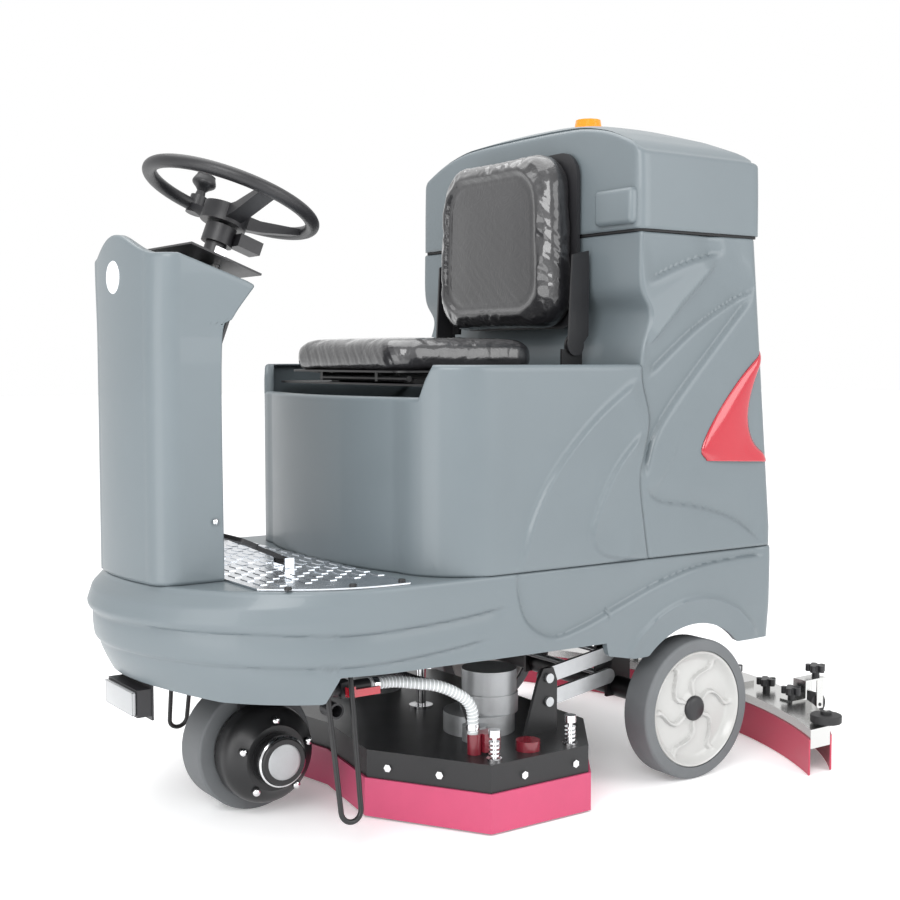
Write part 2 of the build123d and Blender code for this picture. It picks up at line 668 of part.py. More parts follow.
fin_thickness = 6
with BuildPart() as side_fins:
    with BuildSketch(Plane.YZ.offset(side_x + 0.3)):
        with BuildLine():
            Spline((rear_y + 178, rim_height + 440), (rear_y + 124, rim_height + 375),
                   (rear_y + 48, rim_height + 283), (rear_y + 11, rim_height + 223),
                   (rear_y + 26, rim_height + 196))
            Line((rear_y + 26, rim_height + 196), (rear_y + 196, rim_height + 188))
            Spline((rear_y + 196, rim_height + 188), (rear_y + 160, rim_height + 240),
                   (rear_y + 150, rim_height + 300), (rear_y + 158, rim_height + 356),
                   (rear_y + 178, rim_height + 440))
        make_face()
    extrude(amount=fin_thickness)
    mirror(about=Plane.YZ)
save(side_fins.part, "side_fins")

gasket_height = 5
lid_base = tank_top + gasket_height + 0.6
lid_front_y = shroud_rear_y - 12
lid_rear_y = tank_rear_y - 50
lid_side_height = 150
lid_crown_height = 264
lid_floor_z = lid_base + 130
beacon_y = rear_y + 30
beacon_z = lid_base + lid_crown_height
beacon_r = 38
beacon_sink = 13           # base of the beacon below the crown of the lid


def lid_outline(inset):
    """Front view of the arched lid, or of its hollow when inset is the wall thickness."""
    crown = lid_base + lid_crown_height - inset
    shoulder = lid_base + lid_side_height - inset
    half = side_x - inset
    base = lid_base if inset == 0 else lid_base - 1
    with BuildSketch(mode=Mode.PRIVATE) as outline:
        with BuildLine():
            Polyline((-half + 34, shoulder + 32), (-half, shoulder), (-half, base),
                     (half, base), (half, shoulder), (half - 34, shoulder + 32))
            ThreePointArc((half - 34, shoulder + 32), (0, crown), (-half + 34, shoulder + 32))
        make_face()
    return outline.sketch


def lid_side(inset):
    """Side view of the lid, or of its hollow when inset is the wall thickness."""
    front, back, crown = lid_front_y + inset, lid_rear_y - inset, lid_base + lid_crown_height - inset
    base = lid_base if inset == 0 else lid_base - 1
    with BuildSketch(mode=Mode.PRIVATE) as outline:
        with BuildLine():
            Polyline((front + 22, base), (front, lid_base + 60), (front + 4, crown - 74))
            Spline((front + 4, crown - 74), (front + 60, crown - 26), (front + 190, crown - 2),
                   (back - 70, crown - 50), (back - 12, crown - 134))
            Polyline((back - 12, crown - 134), (back - 4, base), (front + 22, base))
        make_face()
    return outline.sketch


with BuildPart() as lid_hollow:
    with BuildSketch(Plane.XZ.offset(-lid_rear_y)):
        add(lid_outline(wall))
    extrude(amount=lid_rear_y - lid_front_y)
    with BuildSketch(Plane.YZ):
        add(lid_side(wall))
    extrude(amount=half_width + 5, both=True, mode=Mode.INTERSECT)

with BuildPart() as tank_lid:
    with BuildSketch(Plane.XZ.offset(-lid_rear_y)):
        add(lid_outline(0))
    extrude(amount=lid_rear_y - lid_front_y)
    with BuildSketch(Plane.YZ):
        add(lid_side(0))
    extrude(amount=half_width + 5, both=True, mode=Mode.INTERSECT)
    add(lid_hollow.part, mode=Mode.SUBTRACT)
    # inner floor that carries the vacuum motor
    with Locations((0, (lid_front_y + lid_rear_y - 10) / 2, lid_floor_z + wall / 2)):
        Box(2 * side_x - wall, lid_rear_y - lid_front_y - 20, wall)
    # cup that the beacon sits in
    with Locations((0, beacon_y, beacon_z - beacon_sink)):
        Cylinder(beacon_r + wall, 2 * wall)
    with Locations((0, beacon_y, beacon_z - beacon_sink + 20)):
        Cylinder(beacon_r + 0.3, 40, mode=Mode.SUBTRACT)
    # lifting lug on the front face
    with Locations((side_x - 70, lid_front_y - 4, lid_base + 44)):
        Box(120, 26, 76)
    # gasket ring under the rim
    with BuildSketch(Plane.XY.offset(tank_top + 0.4)):
        add(rounded_plan(shroud_rear_y - 5, tank_rear_y - 66, side_x - 3, 24, 40, 4))
        add(rounded_plan(shroud_rear_y + 30, tank_rear_y - 90, side_x - 40, 24, 30, 4), mode=Mode.SUBTRACT)
    extrude(amount=gasket_height)
save(tank_lid.part, "tank_lid")

with BuildPart() as beacon:
    with Locations((0, beacon_y, beacon_z - beacon_sink + 7)):
        Cylinder(beacon_r, 14)
    with BuildSketch(Plane.XY.offset(beacon_z - beacon_sink + 14)):
        with Locations((0, beacon_y)):
            RegularPolygon(34, 12)
    extrude(amount=26, taper=10)
save(beacon.part, "beacon")

# ---------------------------------------------------------------- batteries
battery_length, battery_width, battery_height = 250, 185, 270
battery_mid_y = (shroud_front_y + shroud_rear_y) / 2
with BuildPart() as batteries:
    with Locations((0, battery_mid_y, frame_top + 0.5 + battery_height / 2)):
        with GridLocations(battery_length + 8, battery_width + 8, 2, 2):
            Box(battery_length, battery_width, battery_height)
    with Locations((0, battery_mid_y, frame_top + 0.5 + battery_height + 8)):
        with GridLocations(battery_length + 8, battery_width + 8, 2, 2):
            with Locations((-90, 0), (90, 0)):
                Cylinder(9, 16)
save(batteries.part, "batteries")

# ---------------------------------------------------------------- seat
seat_plate_half = side_x - wall - 20
hinge_y = shroud_front_y + 90
with BuildPart() as seat_plate:
    with BuildSketch(Plane.XY.offset(seat_plate_z)):
        with Locations((0, (hinge_y + shroud_rear_y - 40) / 2)):
            seat_plate_outline = Rectangle(2 * seat_plate_half, shroud_rear_y - 40 - hinge_y)
        fillet(seat_plate_outline.vertices().group_by(Axis.Y)[0], shroud_corner_r - 20)
    extrude(amount=4)
    rail_start_y = seat_front_y + 90
    with Locations(*[(side * 150, (rail_start_y + seat_back_y) / 2, seat_plate_z + 9) for side in (-1, 1)]):
        Box(34, seat_back_y - rail_start_y, 10)
save(seat_plate.part, "seat_plate")

with BuildPart() as seat_pan:
    with BuildSketch(Plane.XY.offset(seat_pan_z)):
        with Locations((0, (seat_front_y + seat_back_y) / 2 + 4)):
            RectangleRounded(2 * seat_half - 16, seat_back_y - seat_front_y - 24, 30)
    extrude(amount=4)
    runner_y = (seat_front_y + 60 + seat_back_y) / 2
    with Locations(*[(side * 150, runner_y, seat_pan_z - 5.5) for side in (-1, 1)]):
        Box(22, seat_back_y - seat_front_y - 60, 12)
    # slide release bar
    with BuildSketch(Plane.YZ.offset(-120)):
        with Locations((seat_front_y + 40, seat_pan_z - 12)):
            Circle(6)
    extrude(amount=seat_half + 110)
    with Locations(*[(side * 112, seat_front_y + 42, seat_pan_z - 8) for side in (-1, 1)]):
        Box(10, 16, 20)
    # hinge brackets of the backrest
    for side in (-1, 1):
        with BuildSketch(Plane.YZ.offset(side * (seat_half + 3))):
            with Locations((recline_y, recline_z)):
                Circle(24)
            with Locations((recline_y - 6, seat_pan_z + 16)):
                Rectangle(56, 64)
            with Locations((recline_y, recline_z)):
                Circle(7 + running, mode=Mode.SUBTRACT)
        extrude(amount=side * 5)
        with Locations((side * (seat_half - 4), recline_y - 6, seat_pan_z + 2)):
            Box(24, 56, 4)
save(seat_pan.part, "seat_pan")

with BuildPart() as seat_cushion:
    with BuildSketch(Plane.XY.offset(seat_pan_z + 4.4)):
        with Locations((0, (seat_front_y + seat_back_y) / 2)):
            RectangleRounded(2 * seat_half, seat_back_y - seat_front_y, 50)
    extrude(amount=cushion_height)
    fillet(seat_cushion.faces().sort_by(Axis.Z)[-1].edges(), 22)
save(seat_cushion.part, "seat_cushion")

back_front_y = rear_y - 265
back_thickness = 78
back_base = seat_pan_z + 81
with BuildPart() as seat_back_cushion:
    with BuildSketch(Plane.XZ.offset(-back_front_y - back_thickness)):
        with Locations((0, back_base + back_height / 2)):
            RectangleRounded(2 * back_half, back_height, 60)
    extrude(amount=back_thickness)
    fillet(seat_back_cushion.faces().sort_by(Axis.Y)[0].edges(), 30)
save(seat_back_cushion.part, "seat_back_cushion")

with BuildPart() as seat_back_shell:
    with BuildSketch(Plane.XZ.offset(-back_front_y - back_thickness - 9)):
        with Locations((0, back_base + back_height / 2)):
            RectangleRounded(2 * back_half - 20, back_height - 24, 55)
    extrude(amount=8.5)
    for side in (-1, 1):
        with BuildSketch(Plane.YZ.offset(side * (seat_half + 9))):
            with BuildLine():
                Polyline((recline_y - 20, recline_z), (recline_y - 10, recline_z + 190),
                         (back_front_y + back_thickness + 8, recline_z + 200),
                         (back_front_y + back_thickness + 8, recline_z + 20), (recline_y + 16, recline_z),
                         close=True)
            make_face()
            with Locations((recline_y, recline_z)):
                Circle(22)
        extrude(amount=side * 5)
        with BuildSketch(Plane.YZ.offset(side * (seat_half + 2))):
            with Locations((recline_y, recline_z)):
                Circle(7)
        extrude(amount=side * 12)
        with Locations((side * (back_half + 6), back_front_y + back_thickness + 4.5, recline_z + 110)):
            Box(2 * (seat_half - back_half) + 16, 8, 160)
save(seat_back_shell.part, "seat_back_shell")

# ---------------------------------------------------------------- brush deck
deck_outline = [(0, deck_y - 232), (brush_x - 6, deck_y - 268), (half_width + 36, deck_y - 130),
                (half_width + 36, deck_y + 110), (brush_x + 60, deck_y + 232), (0, deck_y + 240)]


def deck_plan(grow):
    """Plan of the brush deck, offset outward by grow."""
    with BuildSketch(mode=Mode.PRIVATE) as outline:
        with BuildLine():
            Polyline(*deck_outline)
            mirror(about=Plane.YZ)
        make_face()
        offset(amount=grow, kind=Kind.INTERSECTION)
    return outline.sketch


wall_bottom = deck_top - deck_wall_height
bracket_x = link_x + link_thickness / 2 + 2
bracket_thickness = 8
deck_pivot_low = link_top_z - link_fall - link_drop
deck_pivot_high = link_top_z - link_fall
free_clearance = 1.0       # round the front pin of the upper links
with BuildPart() as deck_housing:
    with BuildSketch(Plane.XY.offset(wall_bottom)):
        add(deck_plan(0))
    extrude(amount=deck_wall_height)
    with BuildSketch(Plane.XY.offset(wall_bottom)):
        add(deck_plan(-deck_sheet))
    extrude(amount=deck_wall_height - deck_sheet, mode=Mode.SUBTRACT)
    with Locations((-brush_x, deck_y, deck_top), (brush_x, deck_y, deck_top)):
        Cylinder(34, 40, mode=Mode.SUBTRACT)
    for side in (-1, 1):
        with BuildSketch(Plane.YZ.offset(side * bracket_x)):
            with BuildLine():
                Polyline((link_front_y - 60, deck_top - 1), (link_front_y - 26, deck_pivot_high - 6),
                         (link_front_y - 12, deck_pivot_high + 20),
                         (link_front_y + 14, deck_pivot_high + 20),
                         (link_front_y + 24, deck_pivot_high - 6), (link_front_y + 24, deck_top - 1),
                         close=True)
            make_face()
            with Locations((link_front_y, deck_pivot_low)):
                Circle(pivot_r + running, mode=Mode.SUBTRACT)
            with Locations((link_front_y, deck_pivot_high)):
                Circle(pivot_r + free_clearance, mode=Mode.SUBTRACT)
        extrude(amount=side * bracket_thickness)
save(deck_housing.part, "deck_housing")

skirt_thickness = 5
with BuildPart() as deck_skirt:
    with BuildSketch(Plane.XY.offset(4)):
        add(deck_plan(skirt_thickness + 0.3))
        add(deck_plan(0.3), mode=Mode.SUBTRACT)
    extrude(amount=wall_bottom + 6)
save(deck_skirt.part, "deck_skirt")


def edge_places(start, end, shares):
    """Points along a deck side, with the angle of its outward normal."""
    run = (end[0] - start[0], end[1] - start[1])
    turn = degrees(atan(run[1] / run[0])) - 90 if abs(run[0]) > 1 else 0
    return [(start[0] + run[0] * share, start[1] + run[1] * share, turn) for share in shares]


bolt_places = (edge_places(deck_outline[1], deck_outline[2], (0.18, 0.6))
               + edge_places(deck_outline[2], deck_outline[3], (0.32, 0.85)))
stud_places = [(half_width + 10, deck_y - 104), (half_width + 10, deck_y + 84)]
with BuildPart() as deck_bolts:
    for x, y, turn in bolt_places:
        out = Vector(cos(radians(turn)), sin(radians(turn)), 0)
        with BuildSketch(Plane(origin=Vector(x, y, wall_bottom + 34) + out * 0.3, z_dir=out)):
            RegularPolygon(8, 6)
        extrude(amount=5)
    for x, y in stud_places:
        with Locations((x, y, deck_top + 2.3)):
            Cylinder(15, 4)
        with Locations((x, y, deck_top + 31)):
            Cylinder(5, 56)
        with Locations(*[(x, y, deck_top + 10 + 8 * coil) for coil in range(4)]):
            Cylinder(11, 4)
        with Locations((x, y, deck_top + 52)):
            Cylinder(12, 14)
    mirror(about=Plane.YZ)
save(deck_bolts.part, "deck_bolts")

with BuildPart() as brush_motors:
    for side in (-1, 1):
        with Locations((side * brush_x, deck_y, deck_top + 21)):
            Cylinder(74, 41.4)
        with Locations((side * (brush_x + 8), deck_y + 20, deck_top + 60)):
            Cylinder(60, 40)
        with Locations((side * (brush_x + 8), deck_y + 20, deck_top + 104)):
            Cylinder(57, 50)
        with Locations((side * (brush_x + 64), deck_y - 56, deck_top + 16)):
            Cylinder(26, 31.4)
        with Locations((side * brush_x, deck_y, deck_top)):
            Cylinder(10 + running, 50, mode=Mode.SUBTRACT)
save(brush_motors.part, "brush_motors")

bristle_bottom, block_bottom, block_top = 3, 50, 66
for side, side_name in ((1, "left"), (-1, "right")):
    with BuildPart() as brush:
        with Locations((side * brush_x, deck_y, (bristle_bottom + block_bottom) / 2)):
            Cylinder(brush_r, block_bottom - bristle_bottom)
            Cylinder(70, block_bottom - bristle_bottom, mode=Mode.SUBTRACT)
        with Locations((side * brush_x, deck_y, (block_bottom + block_top) / 2)):
            Cylinder(brush_r - 12, block_top - block_bottom)
        with Locations((side * brush_x, deck_y, (block_top + deck_top - 6) / 2)):
            Cylinder(26, deck_top - 6 - block_top)
        with Locations((side * brush_x, deck_y, deck_top + 6)):
            Cylinder(10, 26)
    save(brush.part, f"brush_{side_name}")

# ---------------------------------------------------------------- deck lift
for lift_name, pivot_z in (("lower_links", link_top_z - link_drop), ("upper_links", link_top_z)):
    with BuildPart() as links:
        run = link_rear_y - link_front_y
        for side in (-1, 1):
            with BuildSketch(Plane.YZ.offset(side * (link_x - link_thickness / 2))):
                with Locations(Location((link_rear_y - run / 2, pivot_z - link_fall / 2, 0),
                                        (0, 0, degrees(atan(link_fall / run))))):
                    SlotCenterToCenter(hypot(run, link_fall), 32)
            extrude(amount=side * link_thickness)
            pin_inner = link_x - link_thickness / 2 + 1
            pin_outer = bracket_x + bracket_thickness + 1
            with BuildSketch(Plane.YZ.offset(side * pin_inner)):
                with Locations((link_front_y, pivot_z - link_fall)):
                    Circle(pivot_r)
            extrude(amount=side * (pin_outer - pin_inner))
            with BuildSketch(Plane.YZ.offset(side * pin_outer)):
                with Locations((link_front_y, pivot_z - link_fall)):
                    Circle(10)
            extrude(amount=side * 6)
        with BuildSketch(Plane.YZ.offset(-link_x)):
            with Locations((link_rear_y, pivot_z)):
                Circle(pivot_r)
        extrude(amount=2 * link_x)
    save(links.part, lift_name)

rod_r = 11
with BuildPart() as lift_actuator:
    tube_bottom = deck_top + 165
    with Locations((0, deck_y, (tube_bottom + frame_top - 2) / 2)):
        Cylinder(22, frame_top - 2 - tube_bottom)
    with Locations((0, deck_y, frame_top - 43.5)):
        Cylinder(34, 6)
    with Locations((0, deck_y - 34, tube_bottom + 26)):
        Cylinder(17, 52)
    with Locations((0, deck_y, tube_bottom)):
        Cylinder(rod_r + 5, 2 * (frame_top - tube_bottom - 12), mode=Mode.SUBTRACT)
save(lift_actuator.part, "lift_actuator")

with BuildPart() as lift_rod:
    with Locations((0, deck_y, deck_top + 100)):
        Cylinder(rod_r, 199.4)
    with Locations((0, deck_y, deck_top + 3.3)):
        Cylinder(26, 6)
save(lift_rod.part, "lift_rod")

# ---------------------------------------------------------------- water line on the left of the deck
port_x, port_y, port_z = half_width - 70, drive_y + 18, 258
valve_x, valve_y, valve_z = half_width - 95, drive_y + 62, 290
solenoid_x, solenoid_y = half_width - 44, deck_y - 116
with BuildPart() as water_fittings:
    # drain port with its cap ring, then the ball valve body
    with BuildSketch(Plane.YZ.offset(port_x - 30)):
        with Locations((port_y, port_z)):
            Circle(15)
            Circle(11, mode=Mode.SUBTRACT)
    extrude(amount=34)
    with BuildSketch(Plane.YZ.offset(port_x - 34)):
        with Locations((port_y, port_z)):
            Circle(15)
    extrude(amount=8)
    with BuildSketch(Plane.XZ.offset(-valve_y)):
        with Locations((valve_x, valve_z)):
            Circle(13)
    extrude(amount=40, both=True)
    with Locations((valve_x, valve_y - 14, valve_z)):
        Box(30, 24, 30)
    with Locations((valve_x + 18, valve_y - 14, valve_z)):
        Box(10, 10, 10)
save(water_fittings.part, "water_fittings")

with BuildPart() as valve_handle:
    with Locations((valve_x + 28, valve_y - 14, valve_z)):
        Box(8, 18, 18)
    with Locations((valve_x + 29, valve_y + 16, valve_z - 4)):
        Box(6, 64, 14)
save(valve_handle.part, "valve_handle")

hose_r = 11
hose_top = (valve_x, valve_y + 40, valve_z)
hose_end = (solenoid_x, solenoid_y, deck_top + 40.3)
hose_points = [hose_top, (valve_x, valve_y + 92, valve_z),
               (solenoid_x - 13, solenoid_y - 62, deck_top + 141),
               (solenoid_x, solenoid_y, deck_top + 101), hose_end]


def arc_radii(points):
    """Radius of the arc at each inner point: as large as its two runs allow."""
    radii = []
    for before, at, after in zip(points, points[1:], points[2:]):
        run_in, run_out = Vector(*at) - Vector(*before), Vector(*after) - Vector(*at)
        shorter = min(run_in.length, run_out.length)
        radii.append(0.45 * shorter / tan(radians(run_in.get_angle(run_out) / 2)))
    return radii


with BuildPart() as solution_hose:
    with BuildLine() as hose_route:
        FilletPolyline(*hose_points, radius=arc_radii(hose_points))
    with BuildSketch(Plane(origin=hose_top, z_dir=hose_route.line % 0)):
        Circle(hose_r)
    sweep(path=hose_route.line)
save(solution_hose.part, "solution_hose")

with BuildPart() as solenoid_valve:
    with Locations((solenoid_x, solenoid_y + 4, deck_top + 20.3)):
        Cylinder(14, 40)
    with Locations((solenoid_x + 2, solenoid_y + 34, deck_top + 22)):
        Box(34, 38, 36)
    with Locations((half_width - 6, deck_y - 10, deck_top + 10.3)):
        Cylinder(24, 20)
save(solenoid_valve.part, "solenoid_valve")

conduit_r = 7
conduit_points = [(valve_x - 30, valve_y + 50, valve_z + 30), (valve_x - 29, valve_y + 96, valve_z + 24),
                  (valve_x - 26, valve_y + 142, valve_z - 2), (brush_x + 63, deck_y - 94, deck_top + 106),
                  (brush_x + 64, deck_y - 70, deck_top + 40)]
with BuildPart() as motor_conduit:
    with BuildLine() as conduit_route:
        FilletPolyline(*conduit_points, radius=arc_radii(conduit_points))
    with BuildSketch(Plane(origin=conduit_points[0], z_dir=conduit_route.line % 0)):
        Circle(conduit_r)
    sweep(path=conduit_route.line)
save(motor_conduit.part, "motor_conduit")
for cord_name, points in (("solution_hose", hose_points), ("motor_conduit", conduit_points)):
    print(cord_name, "arc radii", [round(radius) for radius in arc_radii(points)])

# ---------------------------------------------------------------- lamp and side loops
lamp_y, lamp_z = nose_y + 58, 256
with BuildPart() as headlamp:
    with Locations((0, lamp_y + 18, lamp_z + 14)):
        Box(150, 4, 96)
    with Locations((0, lamp_y + 44, lamp_z + 60)):
        Box(120, 56, 4)
    with Locations((0, lamp_y + 2, lamp_z)):
        Box(146, 28, 52)
    with Locations((0, lamp_y - 16.3, lamp_z)):
        Box(138, 8, 44)
save(headlamp.part, "headlamp")

loop_top, loop_bottom = 330, 62
loop_top_x, loop_bottom_x = half_width - 62, half_width - 12
loop_half = 26
loop_r = 5
with BuildPart() as side_loops:
    lean = (loop_bottom_x - loop_top_x, 0, loop_bottom - loop_top)
    loop_length = hypot(lean[0], lean[2])
    loop_plane = Plane(origin=(loop_top_x, drive_y + 18, loop_top), x_dir=(0, 1, 0),
                       z_dir=Vector(0, 1, 0).cross(Vector(*lean) * -1))
    with BuildLine(loop_plane) as loop_path:
        Line((-loop_half, 0), (-loop_half * 0.8, loop_half - loop_length))
        RadiusArc((-loop_half * 0.8, loop_half - loop_length), (loop_half * 0.8, loop_half - loop_length),
                  -loop_half * 0.8)
        Line((loop_half * 0.8, loop_half - loop_length), (loop_half, 0))
    with BuildSketch(Plane(origin=loop_path.line @ 0, z_dir=loop_path.line % 0)):
        Circle(loop_r)
    sweep(path=loop_path.line, transition=Transition.ROUND)
    with Locations((loop_top_x - 4, drive_y + 18, loop_top + 24)):
        Box(20, 2 * loop_half + 20, 50)
    with Locations((loop_top_x / 2 + rail_x / 2 + 8, drive_y + 18, loop_top + 46)):
        Box(loop_top_x - rail_x - 24, 50, 6)
    mirror(about=Plane.YZ)
save(side_loops.part, "side_loops")

# ---------------------------------------------------------------- controls on the panel and floor
with BuildPart() as key_switch:
    with BuildSketch(panel_plane.offset(-20)):
        with Locations((80, -20)):
            Circle(9)
    extrude(amount=30)
    with BuildSketch(panel_plane.offset(9)):
        with Locations((80, -20)):
            Rectangle(4, 22)
    extrude(amount=22)
save(key_switch.part, "key_switch")

with BuildPart() as emergency_stop:
    with BuildSketch(panel_plane.offset(-20)):
        with Locations((-80, -20)):
            Circle(9)
    extrude(amount=30)
    with BuildSketch(panel_plane.offset(10)):
        with Locations((-80, -20)):
            Circle(20)
    extrude(amount=14)
save(emergency_stop.part, "emergency_stop")

with BuildPart() as accelerator_pedal:
    pedal_plane = Plane(origin=(pedal_x, pedal_heel_y, pedal_heel_z), x_dir=(1, 0, 0),
                        z_dir=(0, sin(radians(pedal_rise)), cos(radians(pedal_rise))))
    with BuildSketch(pedal_plane):
        with Locations((0, -56)):
            Rectangle(26, 112)
        with Locations((0, -104)):
            RectangleRounded(92, 40, 8)
    extrude(amount=8)
    with BuildSketch(Plane.YZ.offset(pedal_x - 20)):
        with Locations((pedal_heel_y, pedal_heel_z)):
            Circle(8)
    extrude(amount=40)
    with BuildSketch(Plane.YZ.offset(pedal_x - 20)):
        with Locations((pedal_heel_y, pedal_heel_z)):
            Circle(pedal_pin_r + running)
    extrude(amount=40, mode=Mode.SUBTRACT)
save(accelerator_pedal.part, "accelerator_pedal")

with BuildPart() as vacuum_motor:
    with Locations((-150, rear_y + 60, lid_floor_z - 69)):
        Cylinder(72, 110)
    with Locations((-150, rear_y + 60, lid_floor_z - 7)):
        Cylinder(90, 14)
save(vacuum_motor.part, "vacuum_motor")

# ---------------------------------------------------------------- squeegee
rear_arc_y = squeegee_centre_y - blade_arc_r
front_arc_y = squeegee_centre_y - 150 - front_arc_r


def squeegee_plan(front_grow, rear_grow, half):
    """Plan between the two arcs of the squeegee, each moved outward by its grow value."""
    rear_r, front_r = blade_arc_r + rear_grow, front_arc_r - front_grow

    def rear_point(x):
        return (x, rear_arc_y + sqrt(rear_r ** 2 - x ** 2))

    def front_point(x):
        return (x, front_arc_y + sqrt(front_r ** 2 - x ** 2))

    with BuildSketch(mode=Mode.PRIVATE) as outline:
        with BuildLine():
            ThreePointArc(rear_point(-half), rear_point(0), rear_point(half))
            Line(rear_point(half), front_point(half))
            ThreePointArc(front_point(half), front_point(0), front_point(-half))
            Line(front_point(-half), rear_point(-half))
        make_face()
    return outline.sketch


blade_thickness = 4
bar_inset = 6
carrier_bar_y = squeegee_centre_y - 132
carrier_leg_x = 162
roller_r = 34
roller_pin_r = 5
roller_x = squeegee_half - roller_r
roller_y = rear_arc_y + sqrt(blade_arc_r ** 2 - roller_x ** 2) - 20
with BuildPart() as squeegee_body:
    with BuildSketch(Plane.XY.offset(squeegee_bottom)):
        add(squeegee_plan(-bar_inset, -bar_inset, squeegee_half - 20))
    extrude(amount=squeegee_top - squeegee_bottom)
    with BuildSketch(Plane.XY.offset(squeegee_bottom)):
        add(squeegee_plan(-bar_inset - 4, -bar_inset - 4, squeegee_half - 24))
    extrude(amount=squeegee_top - squeegee_bottom - 4, mode=Mode.SUBTRACT)
    port_centre_y = squeegee_centre_y - 80
    with Locations((0, port_centre_y, squeegee_top + 24)):
        Cylinder(30, 50)
    with Locations((0, port_centre_y, squeegee_top + 20)):
        Cylinder(25, 62, mode=Mode.SUBTRACT)
    # brackets that the carrier bolts to, and the cranked wheel brackets
    for side in (-1, 1):
        with Locations((side * 134, squeegee_centre_y - 113, squeegee_top + 4.5)):
            Box(84, 60, 11)
        with Locations((side * roller_x, roller_y, squeegee_top + 12)):
            Cylinder(roller_pin_r, 38)
        wheel_bracket_x = side * 335
        bracket_y = rear_arc_y + sqrt(blade_arc_r ** 2 - 335 ** 2)
        with Locations((wheel_bracket_x, bracket_y - 44, squeegee_top + 2)):
            Box(38, 50, 4)
        with Locations((wheel_bracket_x, bracket_y - 21, squeegee_top + 23)):
            Box(38, 4, 46)
        with Locations((wheel_bracket_x, bracket_y + 14, squeegee_top + 44)):
            Box(38, 70, 4)
        with Locations((wheel_bracket_x - 16, bracket_y + 30, squeegee_top + 8),
                       (wheel_bracket_x + 16, bracket_y + 30, squeegee_top + 8)):
            Box(3, 22, 70)
        with BuildSketch(Plane.YZ.offset(wheel_bracket_x - 18)):
            with Locations((bracket_y + 30, 82)):
                Circle(4 + running)
        extrude(amount=36, mode=Mode.SUBTRACT)
save(squeegee_body.part, "squeegee_body")

with BuildPart() as squeegee_blades:
    with BuildSketch(Plane.XY.offset(1)):
        add(squeegee_plan(-bar_inset + 0.3 + blade_thickness, -bar_inset + 0.3 + blade_thickness,
                          squeegee_half - 20))
        add(squeegee_plan(-bar_inset + 0.3, -bar_inset + 0.3, squeegee_half - 10), mode=Mode.SUBTRACT)
    extrude(amount=squeegee_bottom + 20)
save(squeegee_blades.part, "squeegee_blades")

with BuildPart() as squeegee_knobs:
    for side in (-1, 1):
        for knob_x, knob_back, knob_z in ((118, 84, squeegee_top + 10), (230, 62, squeegee_top),
                                          (335, 50, squeegee_top + 4), (335, -34, squeegee_top + 46)):
            arc_y = rear_arc_y + sqrt(blade_arc_r ** 2 - knob_x ** 2)
            with BuildSketch(Plane.XY.offset(knob_z + 12)):
                with Locations((side * knob_x, arc_y - knob_back)):
                    Circle(13)
                    with PolarLocations(17, 5):
                        Circle(7)
            extrude(amount=16)
            with BuildSketch(Plane.XY.offset(knob_z)):
                with Locations((side * knob_x, arc_y - knob_back)):
                    Circle(9)
            extrude(amount=12)
save(squeegee_knobs.part, "squeegee_knobs")

wheel_arc_y = rear_arc_y + sqrt(blade_arc_r ** 2 - 335 ** 2)
with BuildPart() as support_wheels:
    for side in (-1, 1):
        with BuildSketch(Plane.YZ.offset(side * 335 - 12)):
            with Locations((wheel_arc_y + 30, 82)):
                Circle(26)
        extrude(amount=24)
        with BuildSketch(Plane.YZ.offset(side * 335 - 19)):
            with Locations((wheel_arc_y + 30, 82)):
                Circle(4)
        extrude(amount=38)
save(support_wheels.part, "support_wheels")

for side, side_name in ((1, "left"), (-1, "right")):
    with BuildPart() as bumper_roller:
        with Locations((side * roller_x, roller_y, squeegee_top + 13)):
            Cylinder(roller_r, 18)
        fillet(bumper_roller.edges(), 3)
        with Locations((side * roller_x, roller_y, squeegee_top + 25)):
            Cylinder(12, 8)
        with Locations((side * roller_x, roller_y, squeegee_top + 13)):
            Cylinder(roller_pin_r + running, 40, mode=Mode.SUBTRACT)
    save(bumper_roller.part, f"bumper_roller_{side_name}")

with BuildPart() as squeegee_carrier:
    with BuildSketch(Plane.YZ.offset(-20)):
        with Locations((carrier_y, carrier_z)):
            Circle(14)
            Circle(pivot_r + running, mode=Mode.SUBTRACT)
        with BuildLine():
            Polyline((carrier_y + 8, carrier_z + 12), (carrier_bar_y + 10, squeegee_top + 60),
                     (carrier_bar_y + 10, squeegee_top + 36), (carrier_y + 8, carrier_z - 12),
                     close=True)
        make_face()
    extrude(amount=40)
    with Locations((0, carrier_bar_y, squeegee_top + 42)):
        Box(2 * carrier_leg_x + 10, 24, 12)
    with Locations(*[(side * carrier_leg_x, carrier_bar_y, squeegee_top + 29) for side in (-1, 1)]):
        Box(10, 24, 38)
save(squeegee_carrier.part, "squeegee_carrier")
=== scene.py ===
# %% [markdown]
# # A ride-on floor scrubber
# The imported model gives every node, body and joint in metres. Everything below is placed from it, so
# nothing has to be fitted afterwards. The machine's nose points to -Y and its left side to +X.

# %% Load the frame
import json
import math

